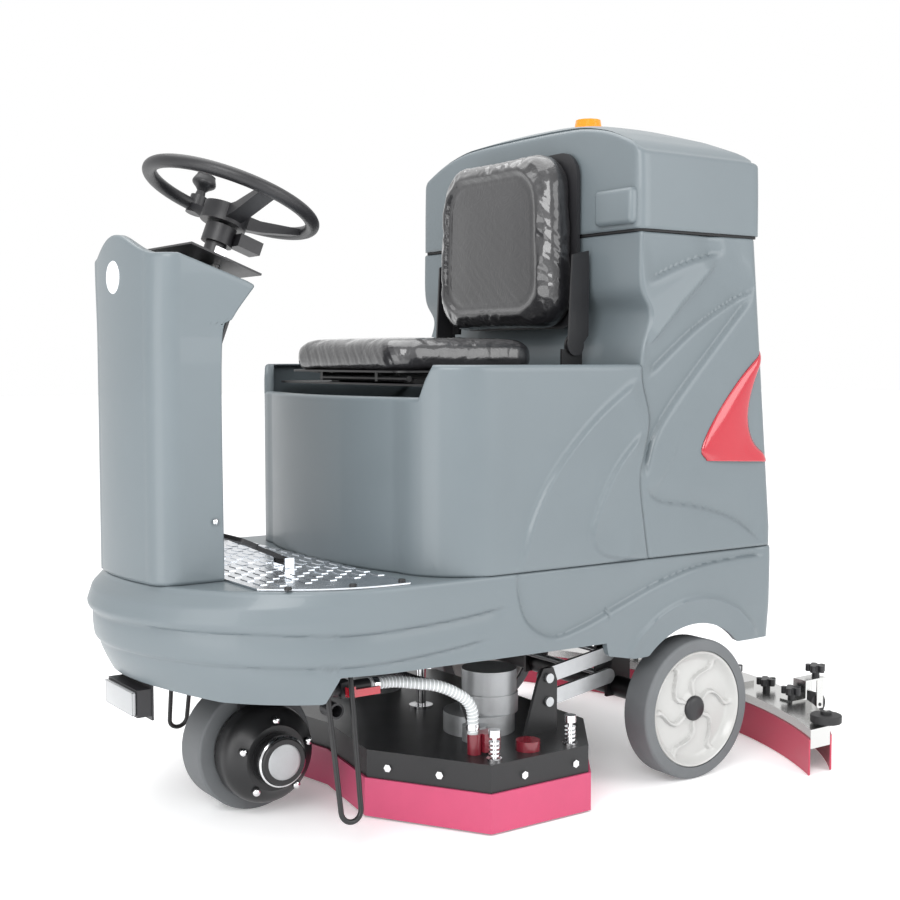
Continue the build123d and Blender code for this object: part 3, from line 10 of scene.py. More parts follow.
import bpy
import numpy as np
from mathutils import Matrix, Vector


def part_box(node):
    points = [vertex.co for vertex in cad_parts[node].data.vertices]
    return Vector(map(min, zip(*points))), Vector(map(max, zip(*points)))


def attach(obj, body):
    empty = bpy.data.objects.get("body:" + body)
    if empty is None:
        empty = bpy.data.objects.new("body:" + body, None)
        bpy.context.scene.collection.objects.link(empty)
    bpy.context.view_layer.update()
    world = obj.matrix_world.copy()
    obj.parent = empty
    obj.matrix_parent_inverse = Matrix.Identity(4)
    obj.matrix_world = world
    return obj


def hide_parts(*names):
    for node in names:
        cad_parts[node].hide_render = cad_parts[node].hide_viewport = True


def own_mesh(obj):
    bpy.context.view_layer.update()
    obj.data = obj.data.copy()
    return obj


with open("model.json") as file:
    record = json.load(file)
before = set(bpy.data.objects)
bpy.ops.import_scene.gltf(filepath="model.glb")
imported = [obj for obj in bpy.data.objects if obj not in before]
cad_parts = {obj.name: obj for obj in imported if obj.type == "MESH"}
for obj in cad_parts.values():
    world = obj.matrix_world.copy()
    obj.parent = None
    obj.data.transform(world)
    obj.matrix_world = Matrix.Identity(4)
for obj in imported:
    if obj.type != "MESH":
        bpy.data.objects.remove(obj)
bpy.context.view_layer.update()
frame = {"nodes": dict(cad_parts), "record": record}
nodes = frame["nodes"]
bpy.ops.object.select_all(action="DESELECT")

# %% [markdown]
# A few numbers are read off the nodes once: the rear axle, the top of the lower body, and the seam
# where the seat shroud meets the tank. All the moulded shells are built round them.

# %% Places worked out from the frame
tyre_low, tyre_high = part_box("rear_tyre_left")
axle_y = (tyre_low.y + tyre_high.y) / 2
axle_z = (tyre_low.z + tyre_high.z) / 2
tyre_r = (tyre_high.z - tyre_low.z) / 2
body_low, body_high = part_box("lower_body")
shroud_low, shroud_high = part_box("seat_shroud")
tank_low, tank_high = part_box("recovery_tank")
lid_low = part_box("tank_lid")[0]
column_low, column_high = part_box("column_cover")
rim_z = body_high.z
half_body = shroud_high.x
print("axle", round(axle_y, 3), round(axle_z, 3), "rim", round(rim_z, 3))

# %% [markdown]
# ## Camera, light and floor
# The camera looks along the machine's front left corner from a little above the seat. Large soft
# area lights and a bright surround give the flat, shadowless look of a catalogue picture, and one
# stronger light from the front left models the creases in the plastic.

# %% Camera
camera_data = bpy.data.cameras.new("catalogue_camera")
camera = bpy.data.objects.new("catalogue_camera", camera_data)
bpy.context.scene.collection.objects.link(camera)
camera.location = (2.447, -1.734, 0.899)
camera.rotation_euler = (math.radians(86.17), 0, math.radians(55.18))
camera_data.lens = 54.07
camera_data.sensor_width = 36
bpy.context.scene.camera = camera


# %% Lights and surround
def area_light(name, place, aim, size, power):
    """Adds one square soft light that points from place towards aim."""
    bpy.ops.object.light_add(type="AREA", location=place)
    light = bpy.context.object
    light.name = name
    light.data.size = size
    light.data.energy = power
    direction = light.location - type(light.location)(aim)
    light.rotation_euler = direction.to_track_quat("Z", "Y").to_euler()
    return light


area_light("key_light", (2.6, -2.6, 2.6), (0, -0.2, 0.6), 1.8, 75)
area_light("side_light", (3.2, 1.4, 1.9), (0, 0.1, 0.5), 2.2, 46)
area_light("top_light", (-0.4, -0.2, 3.4), (0, 0, 0.6), 3.0, 60)
area_light("low_front_light", (1.0, -3.2, 0.7), (0, -0.4, 0.4), 1.6, 22)
world = bpy.data.worlds.new("studio")
bpy.context.scene.world = world
world.use_nodes = True
world.node_tree.nodes["Background"].inputs["Color"].default_value = (1.0, 1.0, 1.0, 1)
world.node_tree.nodes["Background"].inputs["Strength"].default_value = 1.0
bpy.context.scene.view_settings.view_transform = "Standard"


# %% [markdown]
# ## Finishes
# Moulded plastic, rubber and painted metal are never one flat colour. Two effects are shared by most
# of them: a fine grain that breaks up the reflections, and broad soft patches where hands, dust and
# cleaning have changed the surface. Each is a node group with named inputs, built once.

# %% Node group helpers
def new_group(name, inputs, outputs):
    """Makes a shader node group. Inputs are (name, default); outputs are names."""
    group = bpy.data.node_groups.new(name, "ShaderNodeTree")
    for label, value in inputs:
        socket = group.interface.new_socket(name=label, in_out="INPUT", socket_type="NodeSocketFloat")
        socket.default_value = value
    for label in outputs:
        group.interface.new_socket(name=label, in_out="OUTPUT", socket_type="NodeSocketFloat")
    entry = group.nodes.new("NodeGroupInput")
    leave = group.nodes.new("NodeGroupOutput")
    return group, entry, leave


def add_noise(tree, scale, detail, roughness=0.5, stretch=None):
    """Adds a noise texture on Object coordinates, stretched along an axis if asked."""
    place = tree.nodes.new("ShaderNodeTexCoord")
    noise = tree.nodes.new("ShaderNodeTexNoise")
    noise.inputs["Detail"].default_value = detail
    noise.inputs["Roughness"].default_value = roughness
    if stretch:
        mapping = tree.nodes.new("ShaderNodeMapping")
        mapping.inputs["Scale"].default_value = stretch
        tree.links.new(place.outputs["Object"], mapping.inputs["Vector"])
        tree.links.new(mapping.outputs["Vector"], noise.inputs["Vector"])
    else:
        tree.links.new(place.outputs["Object"], noise.inputs["Vector"])
    if scale is not None:
        noise.inputs["Scale"].default_value = scale
    return noise


# %% The fine grain
grain_group, grain_in, grain_out = new_group("Moulded grain", [("Scale", 900.0)], ["Height"])
grain_noise = add_noise(grain_group, None, 2.0)
grain_group.links.new(grain_in.outputs["Scale"], grain_noise.inputs["Scale"])
grain_group.links.new(grain_noise.outputs["Fac"], grain_out.inputs["Height"])

# %% The soft patches
patch_group, patch_in, patch_out = new_group("Soft patches", [("Scale", 4.0), ("Contrast", 0.4)], ["Mask"])
patch_noise = add_noise(patch_group, None, 5.0, 0.6)
patch_group.links.new(patch_in.outputs["Scale"], patch_noise.inputs["Scale"])
spread = patch_group.nodes.new("ShaderNodeMath")
spread.operation = "SUBTRACT"
spread.inputs[1].default_value = 0.5
gain = patch_group.nodes.new("ShaderNodeMath")
gain.operation = "MULTIPLY_ADD"
gain.inputs[2].default_value = 0.5
gain.use_clamp = True
patch_group.links.new(patch_noise.outputs["Fac"], spread.inputs[0])
patch_group.links.new(spread.outputs["Value"], gain.inputs[0])
patch_group.links.new(patch_in.outputs["Contrast"], gain.inputs[1])
patch_group.links.new(gain.outputs["Value"], patch_out.inputs["Mask"])

# %% [markdown]
# Most finishes differ only in colour, gloss, grain size and how strongly the patches show, so one
# function builds them. Values that are the same all over the surface go on the shader's own sockets.


# %% One finish from its few numbers
finish = {}


def finish_of(name, color, rough, metallic=0.0, grain=900.0, bump=0.04, patch=0.08, patch_scale=4.0,
              rough_spread=0.08, coat=0.0, brushed=None):
    """A material whose colour and gloss drift in soft patches over a grained surface."""
    material = finish[name] = bpy.data.materials.new(name)
    material.use_nodes = True
    material.diffuse_color = (*color, 1)
    tree = material.node_tree
    shader = tree.nodes["Principled BSDF"]
    shader.inputs["Metallic"].default_value = metallic
    shader.inputs["Coat Weight"].default_value = coat
    patches = tree.nodes.new("ShaderNodeGroup")
    patches.node_tree = patch_group
    patches.inputs["Scale"].default_value = patch_scale
    patches.inputs["Contrast"].default_value = 1.6
    tint = tree.nodes.new("ShaderNodeMix")
    tint.data_type = "RGBA"
    tint.inputs["A"].default_value = (*[c * (1 - patch) for c in color], 1)
    tint.inputs["B"].default_value = (*[min(1.0, c * (1 + patch)) for c in color], 1)
    tree.links.new(patches.outputs["Mask"], tint.inputs["Factor"])
    tree.links.new(tint.outputs["Result"], shader.inputs["Base Color"])
    gloss = tree.nodes.new("ShaderNodeMapRange")
    gloss.inputs["To Min"].default_value = max(0.02, rough - rough_spread)
    gloss.inputs["To Max"].default_value = min(1.0, rough + rough_spread)
    tree.links.new(patches.outputs["Mask"], gloss.inputs["Value"])
    tree.links.new(gloss.outputs["Result"], shader.inputs["Roughness"])
    relief = tree.nodes.new("ShaderNodeBump")
    relief.inputs["Strength"].default_value = bump
    relief.inputs["Distance"].default_value = 0.001
    if brushed:
        streaks = add_noise(tree, 60.0, 3.0, 0.6, brushed)
        tree.links.new(streaks.outputs["Fac"], relief.inputs["Height"])
    else:
        grained = tree.nodes.new("ShaderNodeGroup")
        grained.node_tree = grain_group
        grained.inputs["Scale"].default_value = grain
        tree.links.new(grained.outputs["Height"], relief.inputs["Height"])
    tree.links.new(relief.outputs["Normal"], shader.inputs["Normal"])
    return material


# %% Plastics
finish_of("body_grey", (0.128, 0.154, 0.168), 0.42, patch=0.05, bump=0.10, coat=0.15)
finish_of("lid_grey", (0.132, 0.158, 0.172), 0.42, patch=0.05, bump=0.10, coat=0.15)
finish_of("black_plastic", (0.016, 0.016, 0.018), 0.42, bump=0.15, patch=0.25)
finish_of("red_plastic", (0.40, 0.008, 0.022), 0.16, coat=0.8, bump=0.02, patch=0.10)
finish_of("rim_plastic", (0.43, 0.43, 0.42), 0.32, coat=0.25, patch=0.06, patch_scale=9)
finish_of("battery_case", (0.02, 0.02, 0.024), 0.5, bump=0.2, patch=0.2)
finish_of("valve_maroon", (0.16, 0.012, 0.022), 0.25, coat=0.4, patch=0.15)
finish_of("badge_white", (0.82, 0.84, 0.86), 0.25, coat=0.5, patch=0.02)
finish_of("seam_black", (0.010, 0.010, 0.011), 0.7, bump=0.2, patch=0.2)

# %% Metals
finish_of("black_steel", (0.014, 0.014, 0.015), 0.34, metallic=0.2, bump=0.10, patch=0.25)
finish_of("bright_steel", (0.72, 0.72, 0.73), 0.12, metallic=1.0, bump=0.02, patch=0.06)
finish_of("zinc_steel", (0.46, 0.47, 0.48), 0.34, metallic=0.9, patch=0.16, patch_scale=30, brushed=(1,
          14, 14))
finish_of("stainless", (0.58, 0.58, 0.57), 0.22, metallic=1.0, patch=0.07, brushed=(1, 22, 22))
finish_of("cast_alloy", (0.40, 0.41, 0.42), 0.45, metallic=0.8, grain=420, bump=0.35, patch=0.15,
          patch_scale=18)
finish_of("tread_aluminium", (0.66, 0.69, 0.73), 0.22, metallic=0.95, patch=0.14, patch_scale=26,
          rough_spread=0.10, brushed=(22, 1, 22))

# %% Rubbers and bristles
finish_of("grey_tyre", (0.115, 0.122, 0.128), 0.62, grain=500, bump=0.25, patch=0.14, patch_scale=12)
finish_of("black_rubber", (0.014, 0.014, 0.015), 0.58, bump=0.25, patch=0.2)
finish_of("pink_rubber", (0.46, 0.050, 0.125), 0.42, grain=300, bump=0.15, patch=0.08, patch_scale=9)
finish_of("red_blade", (0.42, 0.020, 0.060), 0.40, bump=0.10, patch=0.10)
finish_of("bristle", (0.50, 0.52, 0.55), 0.6, patch=0.3, patch_scale=160, bump=0.8, brushed=(30, 30, 1))

# %% [markdown]
# Glass-like pieces need light to pass through them: the amber beacon, the lens of the work lamp and
# the clear hose. Their transmission is set on the shader itself.


# %% Clear finishes
def clear_finish(name, color, rough, transmission, glow=0.0):
    """A see-through plastic with faint waviness in its surface."""
    material = finish_of(name, color, rough, bump=0.03, patch=0.04, rough_spread=0.03, grain=60)
    shader = material.node_tree.nodes["Principled BSDF"]
    shader.inputs["Transmission Weight"].default_value = transmission
    shader.inputs["IOR"].default_value = 1.45
    if glow:
        shader.inputs["Emission Color"].default_value = (*color, 1)
        shader.inputs["Emission Strength"].default_value = glow
    return material


clear_finish("amber", (0.90, 0.30, 0.015), 0.14, 0.35, 0.25)
clear_finish("clear_hose", (0.74, 0.77, 0.78), 0.16, 0.45)
clear_finish("lamp_lens", (0.88, 0.90, 0.92), 0.05, 0.6)

# %% [markdown]
# The seat is black vinyl still in its clear wrapping. The wrapping shows as a glossy coat over the
# vinyl with long shallow wrinkles, which come from a stretched noise folded into ridges.

# %% Wrapped vinyl
vinyl = finish_of("seat_vinyl", (0.013, 0.013, 0.015), 0.34, grain=700, bump=0.3, patch=0.3, patch_scale=9)
vinyl_tree = vinyl.node_tree
vinyl_shader = vinyl_tree.nodes["Principled BSDF"]
vinyl_shader.inputs["Coat Weight"].default_value = 1.0
vinyl_shader.inputs["Coat Roughness"].default_value = 0.06
folds = add_noise(vinyl_tree, 16.0, 4.0, 0.55, (1.0, 2.2, 1.4))
folds.inputs["Distortion"].default_value = 1.2
ridge = vinyl_tree.nodes.new("ShaderNodeMath")
ridge.operation = "PINGPONG"
ridge.inputs[1].default_value = 0.09
vinyl_tree.links.new(folds.outputs["Fac"], ridge.inputs[0])
wrinkle = vinyl_tree.nodes.new("ShaderNodeBump")
wrinkle.inputs["Strength"].default_value = 0.35
wrinkle.inputs["Distance"].default_value = 0.01
vinyl_tree.links.new(ridge.outputs["Value"], wrinkle.inputs["Height"])
vinyl_tree.links.new(vinyl_tree.nodes["Bump"].outputs["Normal"], wrinkle.inputs["Normal"])
vinyl_tree.links.new(wrinkle.outputs["Normal"], vinyl_shader.inputs["Normal"])

# %% [markdown]
# Every node keeps its shape from the design and takes the finish of its own material slot. A Weld
# and an Edge Split modifier turn its loose triangles into smooth surfaces with crisp corners.

# %% Dress the nodes
slot_of = {row["node"]: row["material_slot"] for row in frame["record"]["subparts"]}
for name, node in nodes.items():
    node.data.materials.clear()
    node.data.materials.append(finish[slot_of[name]])
    node.data.polygons.foreach_set("use_smooth", [True] * len(node.data.polygons))
    weld = node.modifiers.new("Weld", "WELD")
    weld.merge_threshold = 0.00001
    split = node.modifiers.new("Edge Split", "EDGE_SPLIT")
    split.split_angle = math.radians(32)
print("dressed", len(nodes), "nodes")

# %% [markdown]
# The floor is a very large pale sheet, far past the view, so that it has no visible edge.

# %% Floor
bpy.ops.mesh.primitive_plane_add(size=60, location=(0, 0, -0.0005))
floor = bpy.context.object
floor.name = "studio_floor"
bpy.ops.object.transform_apply()
floor.data.materials.append(finish_of("floor_white", (0.96, 0.965, 0.97), 0.6, bump=0.0, patch=0.01))
floor_shader = floor.data.materials[0].node_tree.nodes["Principled BSDF"]
floor_shader.inputs["Emission Color"].default_value = (1, 1, 1, 1)
floor_shader.inputs["Emission Strength"].default_value = 0.18


# %% [markdown]
# ## Tools for the moulded shells
# The big plastic covers are double-curved skins with creases. On the real machine they come out of a
# rotational mould. A skin is laid as a fine grid: each row is one level of the cover and each column
# runs up it, so a crease is only a small push in or out along the surface. Edit-mode operators could
# not place a long, tapering crease this evenly.


# %% Helpers for pieces
def settle(piece, name, body, slot, material=None, replaced=()):
    """Names a finished piece, gives it its finish and body, and hides the nodes it stands for."""
    piece.name = name
    piece.data.name = name
    piece.data.materials.clear()
    piece.data.materials.append(finish[material or slot])
    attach(piece, body)
    if replaced:
        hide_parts(*replaced)
    bpy.ops.object.select_all(action="DESELECT")
    return piece


def select_only(piece):
    """Makes the piece the one selected and active object."""
    bpy.ops.object.select_all(action="DESELECT")
    bpy.context.view_layer.objects.active = piece
    piece.select_set(True)


def apply_modifiers(piece):
    """Applies every modifier of the piece, in order."""
    select_only(piece)
    for modifier in list(piece.modifiers):
        bpy.ops.object.modifier_apply(modifier=modifier.name)


def thicken(piece, thickness=0.004, offset=-1):
    """Gives a skin its wall, on the inside unless offset says otherwise."""
    wall = piece.modifiers.new("Wall", "SOLIDIFY")
    wall.thickness = thickness
    wall.offset = offset


def smooth(piece, angle=35):
    """Shades the piece smooth, with edges sharper than the angle kept crisp."""
    select_only(piece)
    bpy.ops.object.shade_smooth_by_angle(angle=math.radians(angle))


def grid_skin(rows):
    """Lays a grid whose vertices take the places in rows[level][column]."""
    points = np.array(rows, dtype=float)
    levels, columns = points.shape[:2]
    bpy.ops.mesh.primitive_grid_add(x_subdivisions=columns - 1, y_subdivisions=levels - 1, size=1)
    skin = bpy.context.object
    skin.data.vertices.foreach_set("co", points.reshape(-1))
    skin.data.update()
    return skin


def face_out(piece):
    """Merges doubles and turns every face outwards."""
    select_only(piece)
    bpy.ops.object.mode_set(mode="EDIT")
    bpy.ops.mesh.select_all(action="SELECT")
    bpy.ops.mesh.remove_doubles(threshold=0.0001)
    bpy.ops.mesh.normals_make_consistent(inside=False)
    bpy.ops.object.mode_set(mode="OBJECT")


# %% [markdown]
# A crease is drawn as a smooth line in the side view. Its height is full on the line, dies away
# slowly on one side and quickly on the other, and fades out towards both ends, which is how a
# mould maker blends a styling line into a panel.


# %% Creases
def smooth_line(points, steps=8):
    """A curve through the points, as a list of many short steps."""
    points = np.array(points, float)
    padded = np.vstack([2 * points[0] - points[1], points, 2 * points[-1] - points[-2]])
    line = []
    for before, start, end, after in zip(padded, padded[1:], padded[2:], padded[3:]):
        for t in np.arange(steps) / steps:
            line.append(0.5 * (2 * start + (end - before) * t
                               + (2 * before - 5 * start + 4 * end - after) * t ** 2
                               + (3 * start - before - 3 * end + after) * t ** 3))
    line.append(points[-1])
    return np.array(line)


def crease(y, z, points, height, slow, quick=0.004, fade=0.06):
    """Height of the surface around one crease. The slow side lies to the left of the line."""
    line = smooth_line(points)
    starts, ends = line[:-1], line[1:]
    spans = ends - starts
    lengths = np.hypot(spans[:, 0], spans[:, 1])
    travel = np.concatenate([[0], np.cumsum(lengths)])
    flat_y, flat_z = np.ravel(y)[:, None], np.ravel(z)[:, None]
    along = ((flat_y - starts[:, 0]) * spans[:, 0] + (flat_z - starts[:, 1]) * spans[:, 1]) / lengths ** 2
    along = np.clip(along, 0, 1)
    off_y = flat_y - starts[:, 0] - along * spans[:, 0]
    off_z = flat_z - starts[:, 1] - along * spans[:, 1]
    distance = np.hypot(off_y, off_z)
    nearest = distance.argmin(axis=1)
    pick = np.arange(len(nearest))
    side = (spans[nearest, 0] * off_z[pick, nearest] - spans[nearest, 1] * off_y[pick, nearest])
    far = distance[pick, nearest]
    position = travel[nearest] + along[pick, nearest] * lengths[nearest]
    ends_off = np.clip(np.minimum(position, travel[-1] - position) / fade, 0, 1)
    blend = ends_off * ends_off * (3 - 2 * ends_off)
    fall = np.where(side > 0, np.exp(-far / slow), np.exp(-far / quick))
    return (height * blend * fall).reshape(np.shape(y))


# %% Lay a shell round an outline
def shell(outline_at, low, high, levels, lip_r, lip, relief=None, close=0, foot=0.0):
    """Rows of a moulded wall. outline_at(z_array) gives x and y for every column; low and high are
    the bottom and top of each column. The top edge is rounded by lip_r and turned in by lip."""
    columns = len(low)
    rows_x, rows_y, rows_z = [], [], []
    for part in np.linspace(0, 1, levels):
        z = low + (high - lip_r - low) * part
        x, y = outline_at(z)
        rows_x.append(x)
        rows_y.append(y)
        rows_z.append(z)
    x, y, z = np.array(rows_x), np.array(rows_y), np.array(rows_z)
    slope_x, slope_y = np.gradient(x, axis=1), np.gradient(y, axis=1)
    length = np.hypot(slope_x, slope_y) + 1e-9
    # an outline may run either way round, so its turning sense says which side is out
    sense = np.sign(np.sum((x[0] - x[0].mean()) * slope_y[0] - (y[0] - y[0].mean()) * slope_x[0]))
    out_x, out_y = sense * slope_y / length, -sense * slope_x / length
    if relief is not None:
        push = relief(x, y, z)
        x, y = x + out_x * push, y + out_y * push
    top_x, top_y = x[-1], y[-1]
    extra = []
    for turn in np.radians([22, 45, 67, 90]):
        inward = lip_r * (1 - math.cos(turn))
        extra.append((top_x - out_x[-1] * inward, top_y - out_y[-1] * inward,
                      high - lip_r + lip_r * math.sin(turn)))
    inward = lip_r + lip
    extra.append((top_x - out_x[-1] * inward, top_y - out_y[-1] * inward, high + 0 * top_x))
    for shrink in ([0.5, 0.002] if close else []):
        flat_x, flat_y = extra[4][0], extra[4][1]
        extra.append((flat_x * shrink, flat_y, high + 0 * top_x))
    start = []
    if foot:
        start.append((x[0] - out_x[0] * foot, y[0] - out_y[0] * foot, z[0] + 0.002))
        start.append((x[0] - out_x[0] * 0.001, y[0] - out_y[0] * 0.001, z[0] + 0.0))
    rows = [np.stack(row, axis=1) for row in start]
    rows += [np.stack([x[i], y[i], z[i]], axis=1) for i in range(levels)]
    rows += [np.stack(row, axis=1) for row in extra]
    print("shell of", columns, "columns and", len(rows), "levels")
    return rows


# %% [markdown]
# ## The lower body
# One moulding runs from the rounded nose to the tail. Seen from above, the nose is a long curve and
# the sides are straight. Seen from the side, it has a waist of horizontal bands round the nose, an
# S-shaped hollow ahead of the rear wheel, and a ridge that follows the wheel arch.

# %% Outline of the lower body
nose_y = body_low.y
tail_y = body_high.y
shoulder_y = axle_y - 0.752
arch_r = tyre_r + 0.033
chin_z = rim_z - 0.207
bulge_z = rim_z - 0.057
sections_z = [chin_z - 0.02, chin_z, (chin_z + bulge_z) / 2, bulge_z, (bulge_z + rim_z) / 2, rim_z]
set_backs = [0.070, 0.060, 0.016, 0.001, 0.012, 0.046]


def nose_half(z):
    """x and y of the left half of the outline, nose to tail, for one height per column."""
    steps_nose = np.linspace(0, 1, 90)
    steps_side = np.linspace(0, 1, 200)[1:]
    steps_corner = np.radians(np.linspace(0, 90, 10))[1:]
    steps_tail = np.linspace(0, 1, 8)[1:]
    count = len(steps_nose) + len(steps_side) + len(steps_corner) + len(steps_tail)
    assert len(z) == count
    front = nose_y + np.interp(z, sections_z, set_backs)
    half = half_body + np.interp(z, sections_z, [-0.008, -0.006, 0, 0.001, 0.001, 0])
    t = np.concatenate([steps_nose, np.ones(count - len(steps_nose))])
    reach = shoulder_y - front
    x = half * (1.5 * t * (1 - t) ** 2 + 3 * t ** 2 * (1 - t) + t ** 3)
    y = (front * (1 - t) ** 3 + 3 * t * (1 - t) ** 2 * front
         + 3 * t ** 2 * (1 - t) * (shoulder_y - 0.56 * reach) + t ** 3 * shoulder_y)
    corner = 0.024
    first = len(steps_nose)
    y[first:first + len(steps_side)] = shoulder_y + steps_side * (tail_y - corner - shoulder_y)
    first += len(steps_side)
    last = first + len(steps_corner)
    x[first:last] = half[first:last] - corner * (1 - np.cos(steps_corner))
    y[first:last] = tail_y - corner + corner * np.sin(steps_corner)
    x[last:] = (half[last:] - corner) * (1 - steps_tail)
    y[last:] = tail_y
    return x, y


half_columns = 90 + 199 + 9 + 7


def whole_outline(z):
    """The outline all the way round: right tail, nose, left tail."""
    left_x, left_y = nose_half(z[half_columns - 1:])
    right_x, right_y = nose_half(z[:half_columns][::-1])
    return (np.concatenate([-right_x[::-1], left_x[1:]]), np.concatenate([right_y[::-1], left_y[1:]]))


def underside(y):
    """Lowest point of the lower body at each place along it, with the wheel arch."""
    line_y = [nose_y, axle_y - 1.072, axle_y - 0.906, axle_y - 0.870, axle_y - 0.250, axle_y - 0.244,
              axle_y - 0.172, tail_y]
    line_z = [chin_z + 0.020, chin_z + 0.002, chin_z + 0.002, chin_z + 0.050, chin_z + 0.042,
              chin_z + 0.014, chin_z, chin_z]
    reach = np.clip(np.abs(y - axle_y), 0, arch_r)
    arch = axle_z + np.sqrt(arch_r ** 2 - reach ** 2)
    return np.maximum(np.interp(y, line_y, line_z), np.where(reach < arch_r, arch, 0))


# %% Creases of the lower body
swoop_line = [(-0.150, 0.500), (-0.143, 0.440), (-0.118, 0.385), (-0.056, 0.353), (0.020, 0.366),
              (0.120, 0.400), (0.221, 0.433), (0.343, 0.459), (0.490, 0.467), (0.580, 0.465)]
shelf_line = [(0.130, 0.500), (0.193, 0.497), (0.371, 0.494), (0.460, 0.486), (0.572, 0.470)]
arch_line = [(axle_y + 0.238 * math.cos(a), axle_z + 0.238 * math.sin(a))
             for a in np.radians(np.linspace(152, 28, 9))]
band_upper = [(-0.95, 0.418), (-0.70, 0.412), (-0.50, 0.404), (-0.30, 0.410), (-0.16, 0.424)]
band_lower = [(-0.95, 0.362), (-0.70, 0.352), (-0.50, 0.346), (-0.34, 0.352), (-0.20, 0.366)]


def body_relief(x, y, z):
    """Push of the lower body's surface, out from the plain wall."""
    push = crease(y, z, swoop_line, -0.011, 0.060, 0.003)
    push = push + crease(y, z, arch_line, 0.007, 0.004, 0.030)
    push = push + crease(y, z, shelf_line, 0.005, 0.004, 0.014)
    push = push + crease(y, z, band_upper, -0.009, 0.003, 0.024)
    push = push + crease(y, z, band_lower, -0.008, 0.003, 0.022)
    # the tail corner and the back stay plain
    return push * np.clip((tail_y - 0.030 - y) / 0.03, 0, 1)


# %% Lower body shell
low_start = np.full(half_columns * 2 - 1, (chin_z + rim_z) / 2)
outline_y = whole_outline(low_start)[1]
body_rows = shell(whole_outline, underside(outline_y), np.full_like(outline_y, rim_z), 50, 0.007, 0.010,
                  body_relief, close=1, foot=0.012)
lower_body = grid_skin(body_rows)
face_out(lower_body)
smooth(lower_body, 60)
settle(lower_body, "lower_body_shell", "chassis", "body_grey", replaced=["lower_body"])

# %% [markdown]
# ## The seat shroud and the tank
# The shroud wraps round the front of the battery bay, and the tank tower stands behind it. They meet
# in a wavy seam. Both carry leaf-shaped creases that start low and sweep back and up.

# %% The seam
seam_heights = rim_z + np.array([-0.005, 0.060, 0.178, 0.282, 0.370, 0.435, 0.506, 0.563, 0.680])
seam_offsets = np.array([0.019, 0.008, -0.009, 0.017, -0.002, 0.0, 0.020, -0.006, -0.008])
seam_base_y = axle_y - 0.160
seam_curve = smooth_line(np.stack([seam_heights, seam_offsets], axis=1))


def seam_y(z):
    """Where the seam runs at each height."""
    return seam_base_y + np.interp(z, seam_curve[:, 0], seam_curve[:, 1])


# %% Shroud shell
shroud_front_y = shroud_low.y
shroud_corner = 0.140
shroud_crown = 0.066
shroud_steps = (96, 15, 19)


def u_outline(rear, half, corner, corner_y, front_y, steps):
    """x and y from the left rear edge round a bowed front to the right rear edge. rear holds the rear
    edge's y for every column, and steps the columns of a side, of a corner and of half the front."""
    side_steps, turn_steps, front_steps = steps
    side = np.linspace(0, 1, side_steps)
    turn = np.radians(np.linspace(0, 90, turn_steps + 1))[1:]
    front = np.linspace(0, 1, front_steps + 1)[1:]
    bow = corner_y - corner
    x = np.concatenate([np.full(side_steps, half), half - corner * (1 - np.cos(turn)),
                        (half - corner) * (1 - front)])

    def half_y(rear_half):
        start = rear_half[:side_steps]
        return np.concatenate([start + side * (corner_y - start), corner_y - corner * np.sin(turn),
                               bow - (bow - front_y) * (1 - (1 - front) ** 2)])

    left, right = half_y(rear[:sum(steps)]), half_y(rear[sum(steps) - 1:][::-1])
    return np.concatenate([x, -x[::-1][1:]]), np.concatenate([left, right[::-1][1:]])


def shroud_outline(z):
    """Left seam, round the front, to the right seam."""
    corner_y = shroud_front_y + shroud_crown + shroud_corner - 0.022
    return u_outline(seam_y(z) - 0.0005, half_body, shroud_corner, corner_y, shroud_front_y, shroud_steps)


shroud_line_1 = [(0.165, 0.862), (0.042, 0.778), (-0.061, 0.676), (-0.120, 0.575), (-0.142, 0.488)]
shroud_line_2 = [(0.176, 0.756), (0.100, 0.679), (0.051, 0.595), (0.037, 0.542), (0.073, 0.506),
                 (0.180, 0.490)]


def shroud_relief(x, y, z):
    """The two leaf creases on each flank of the shroud."""
    push = crease(y, z, shroud_line_1, 0.010, 0.080, 0.003, 0.05)
    return push + crease(y, z, shroud_line_2, 0.009, 0.050, 0.003, 0.05)


shroud_columns = sum(shroud_steps) * 2 - 1
probe_x, probe_y = shroud_outline(np.full(shroud_columns, 0.8))
# the front wall is cut down under the front of the seat
dip = np.clip((0.334 - np.abs(probe_x)) / 0.012, 0, 1) * (probe_y < shroud_front_y + 0.115)
shroud_top = shroud_high.z - 0.062 * dip
shroud_rows = shell(shroud_outline, np.full(shroud_columns, shroud_low.z), shroud_top, 84, 0.009, 0.012,
                    shroud_relief)
shroud = grid_skin([row[::-1] for row in shroud_rows])
smooth(shroud, 60)
thicken(shroud)
settle(shroud, "seat_shroud_shell", "chassis", "body_grey", replaced=["seat_shroud"])

# %% Tank shell
tank_rear_y = tank_high.y
tank_corner = 0.024
tank_lean = 0.062
tank_front_steps, tank_side_steps, tank_turn_steps, tank_back_steps = 24, 110, 10, 24


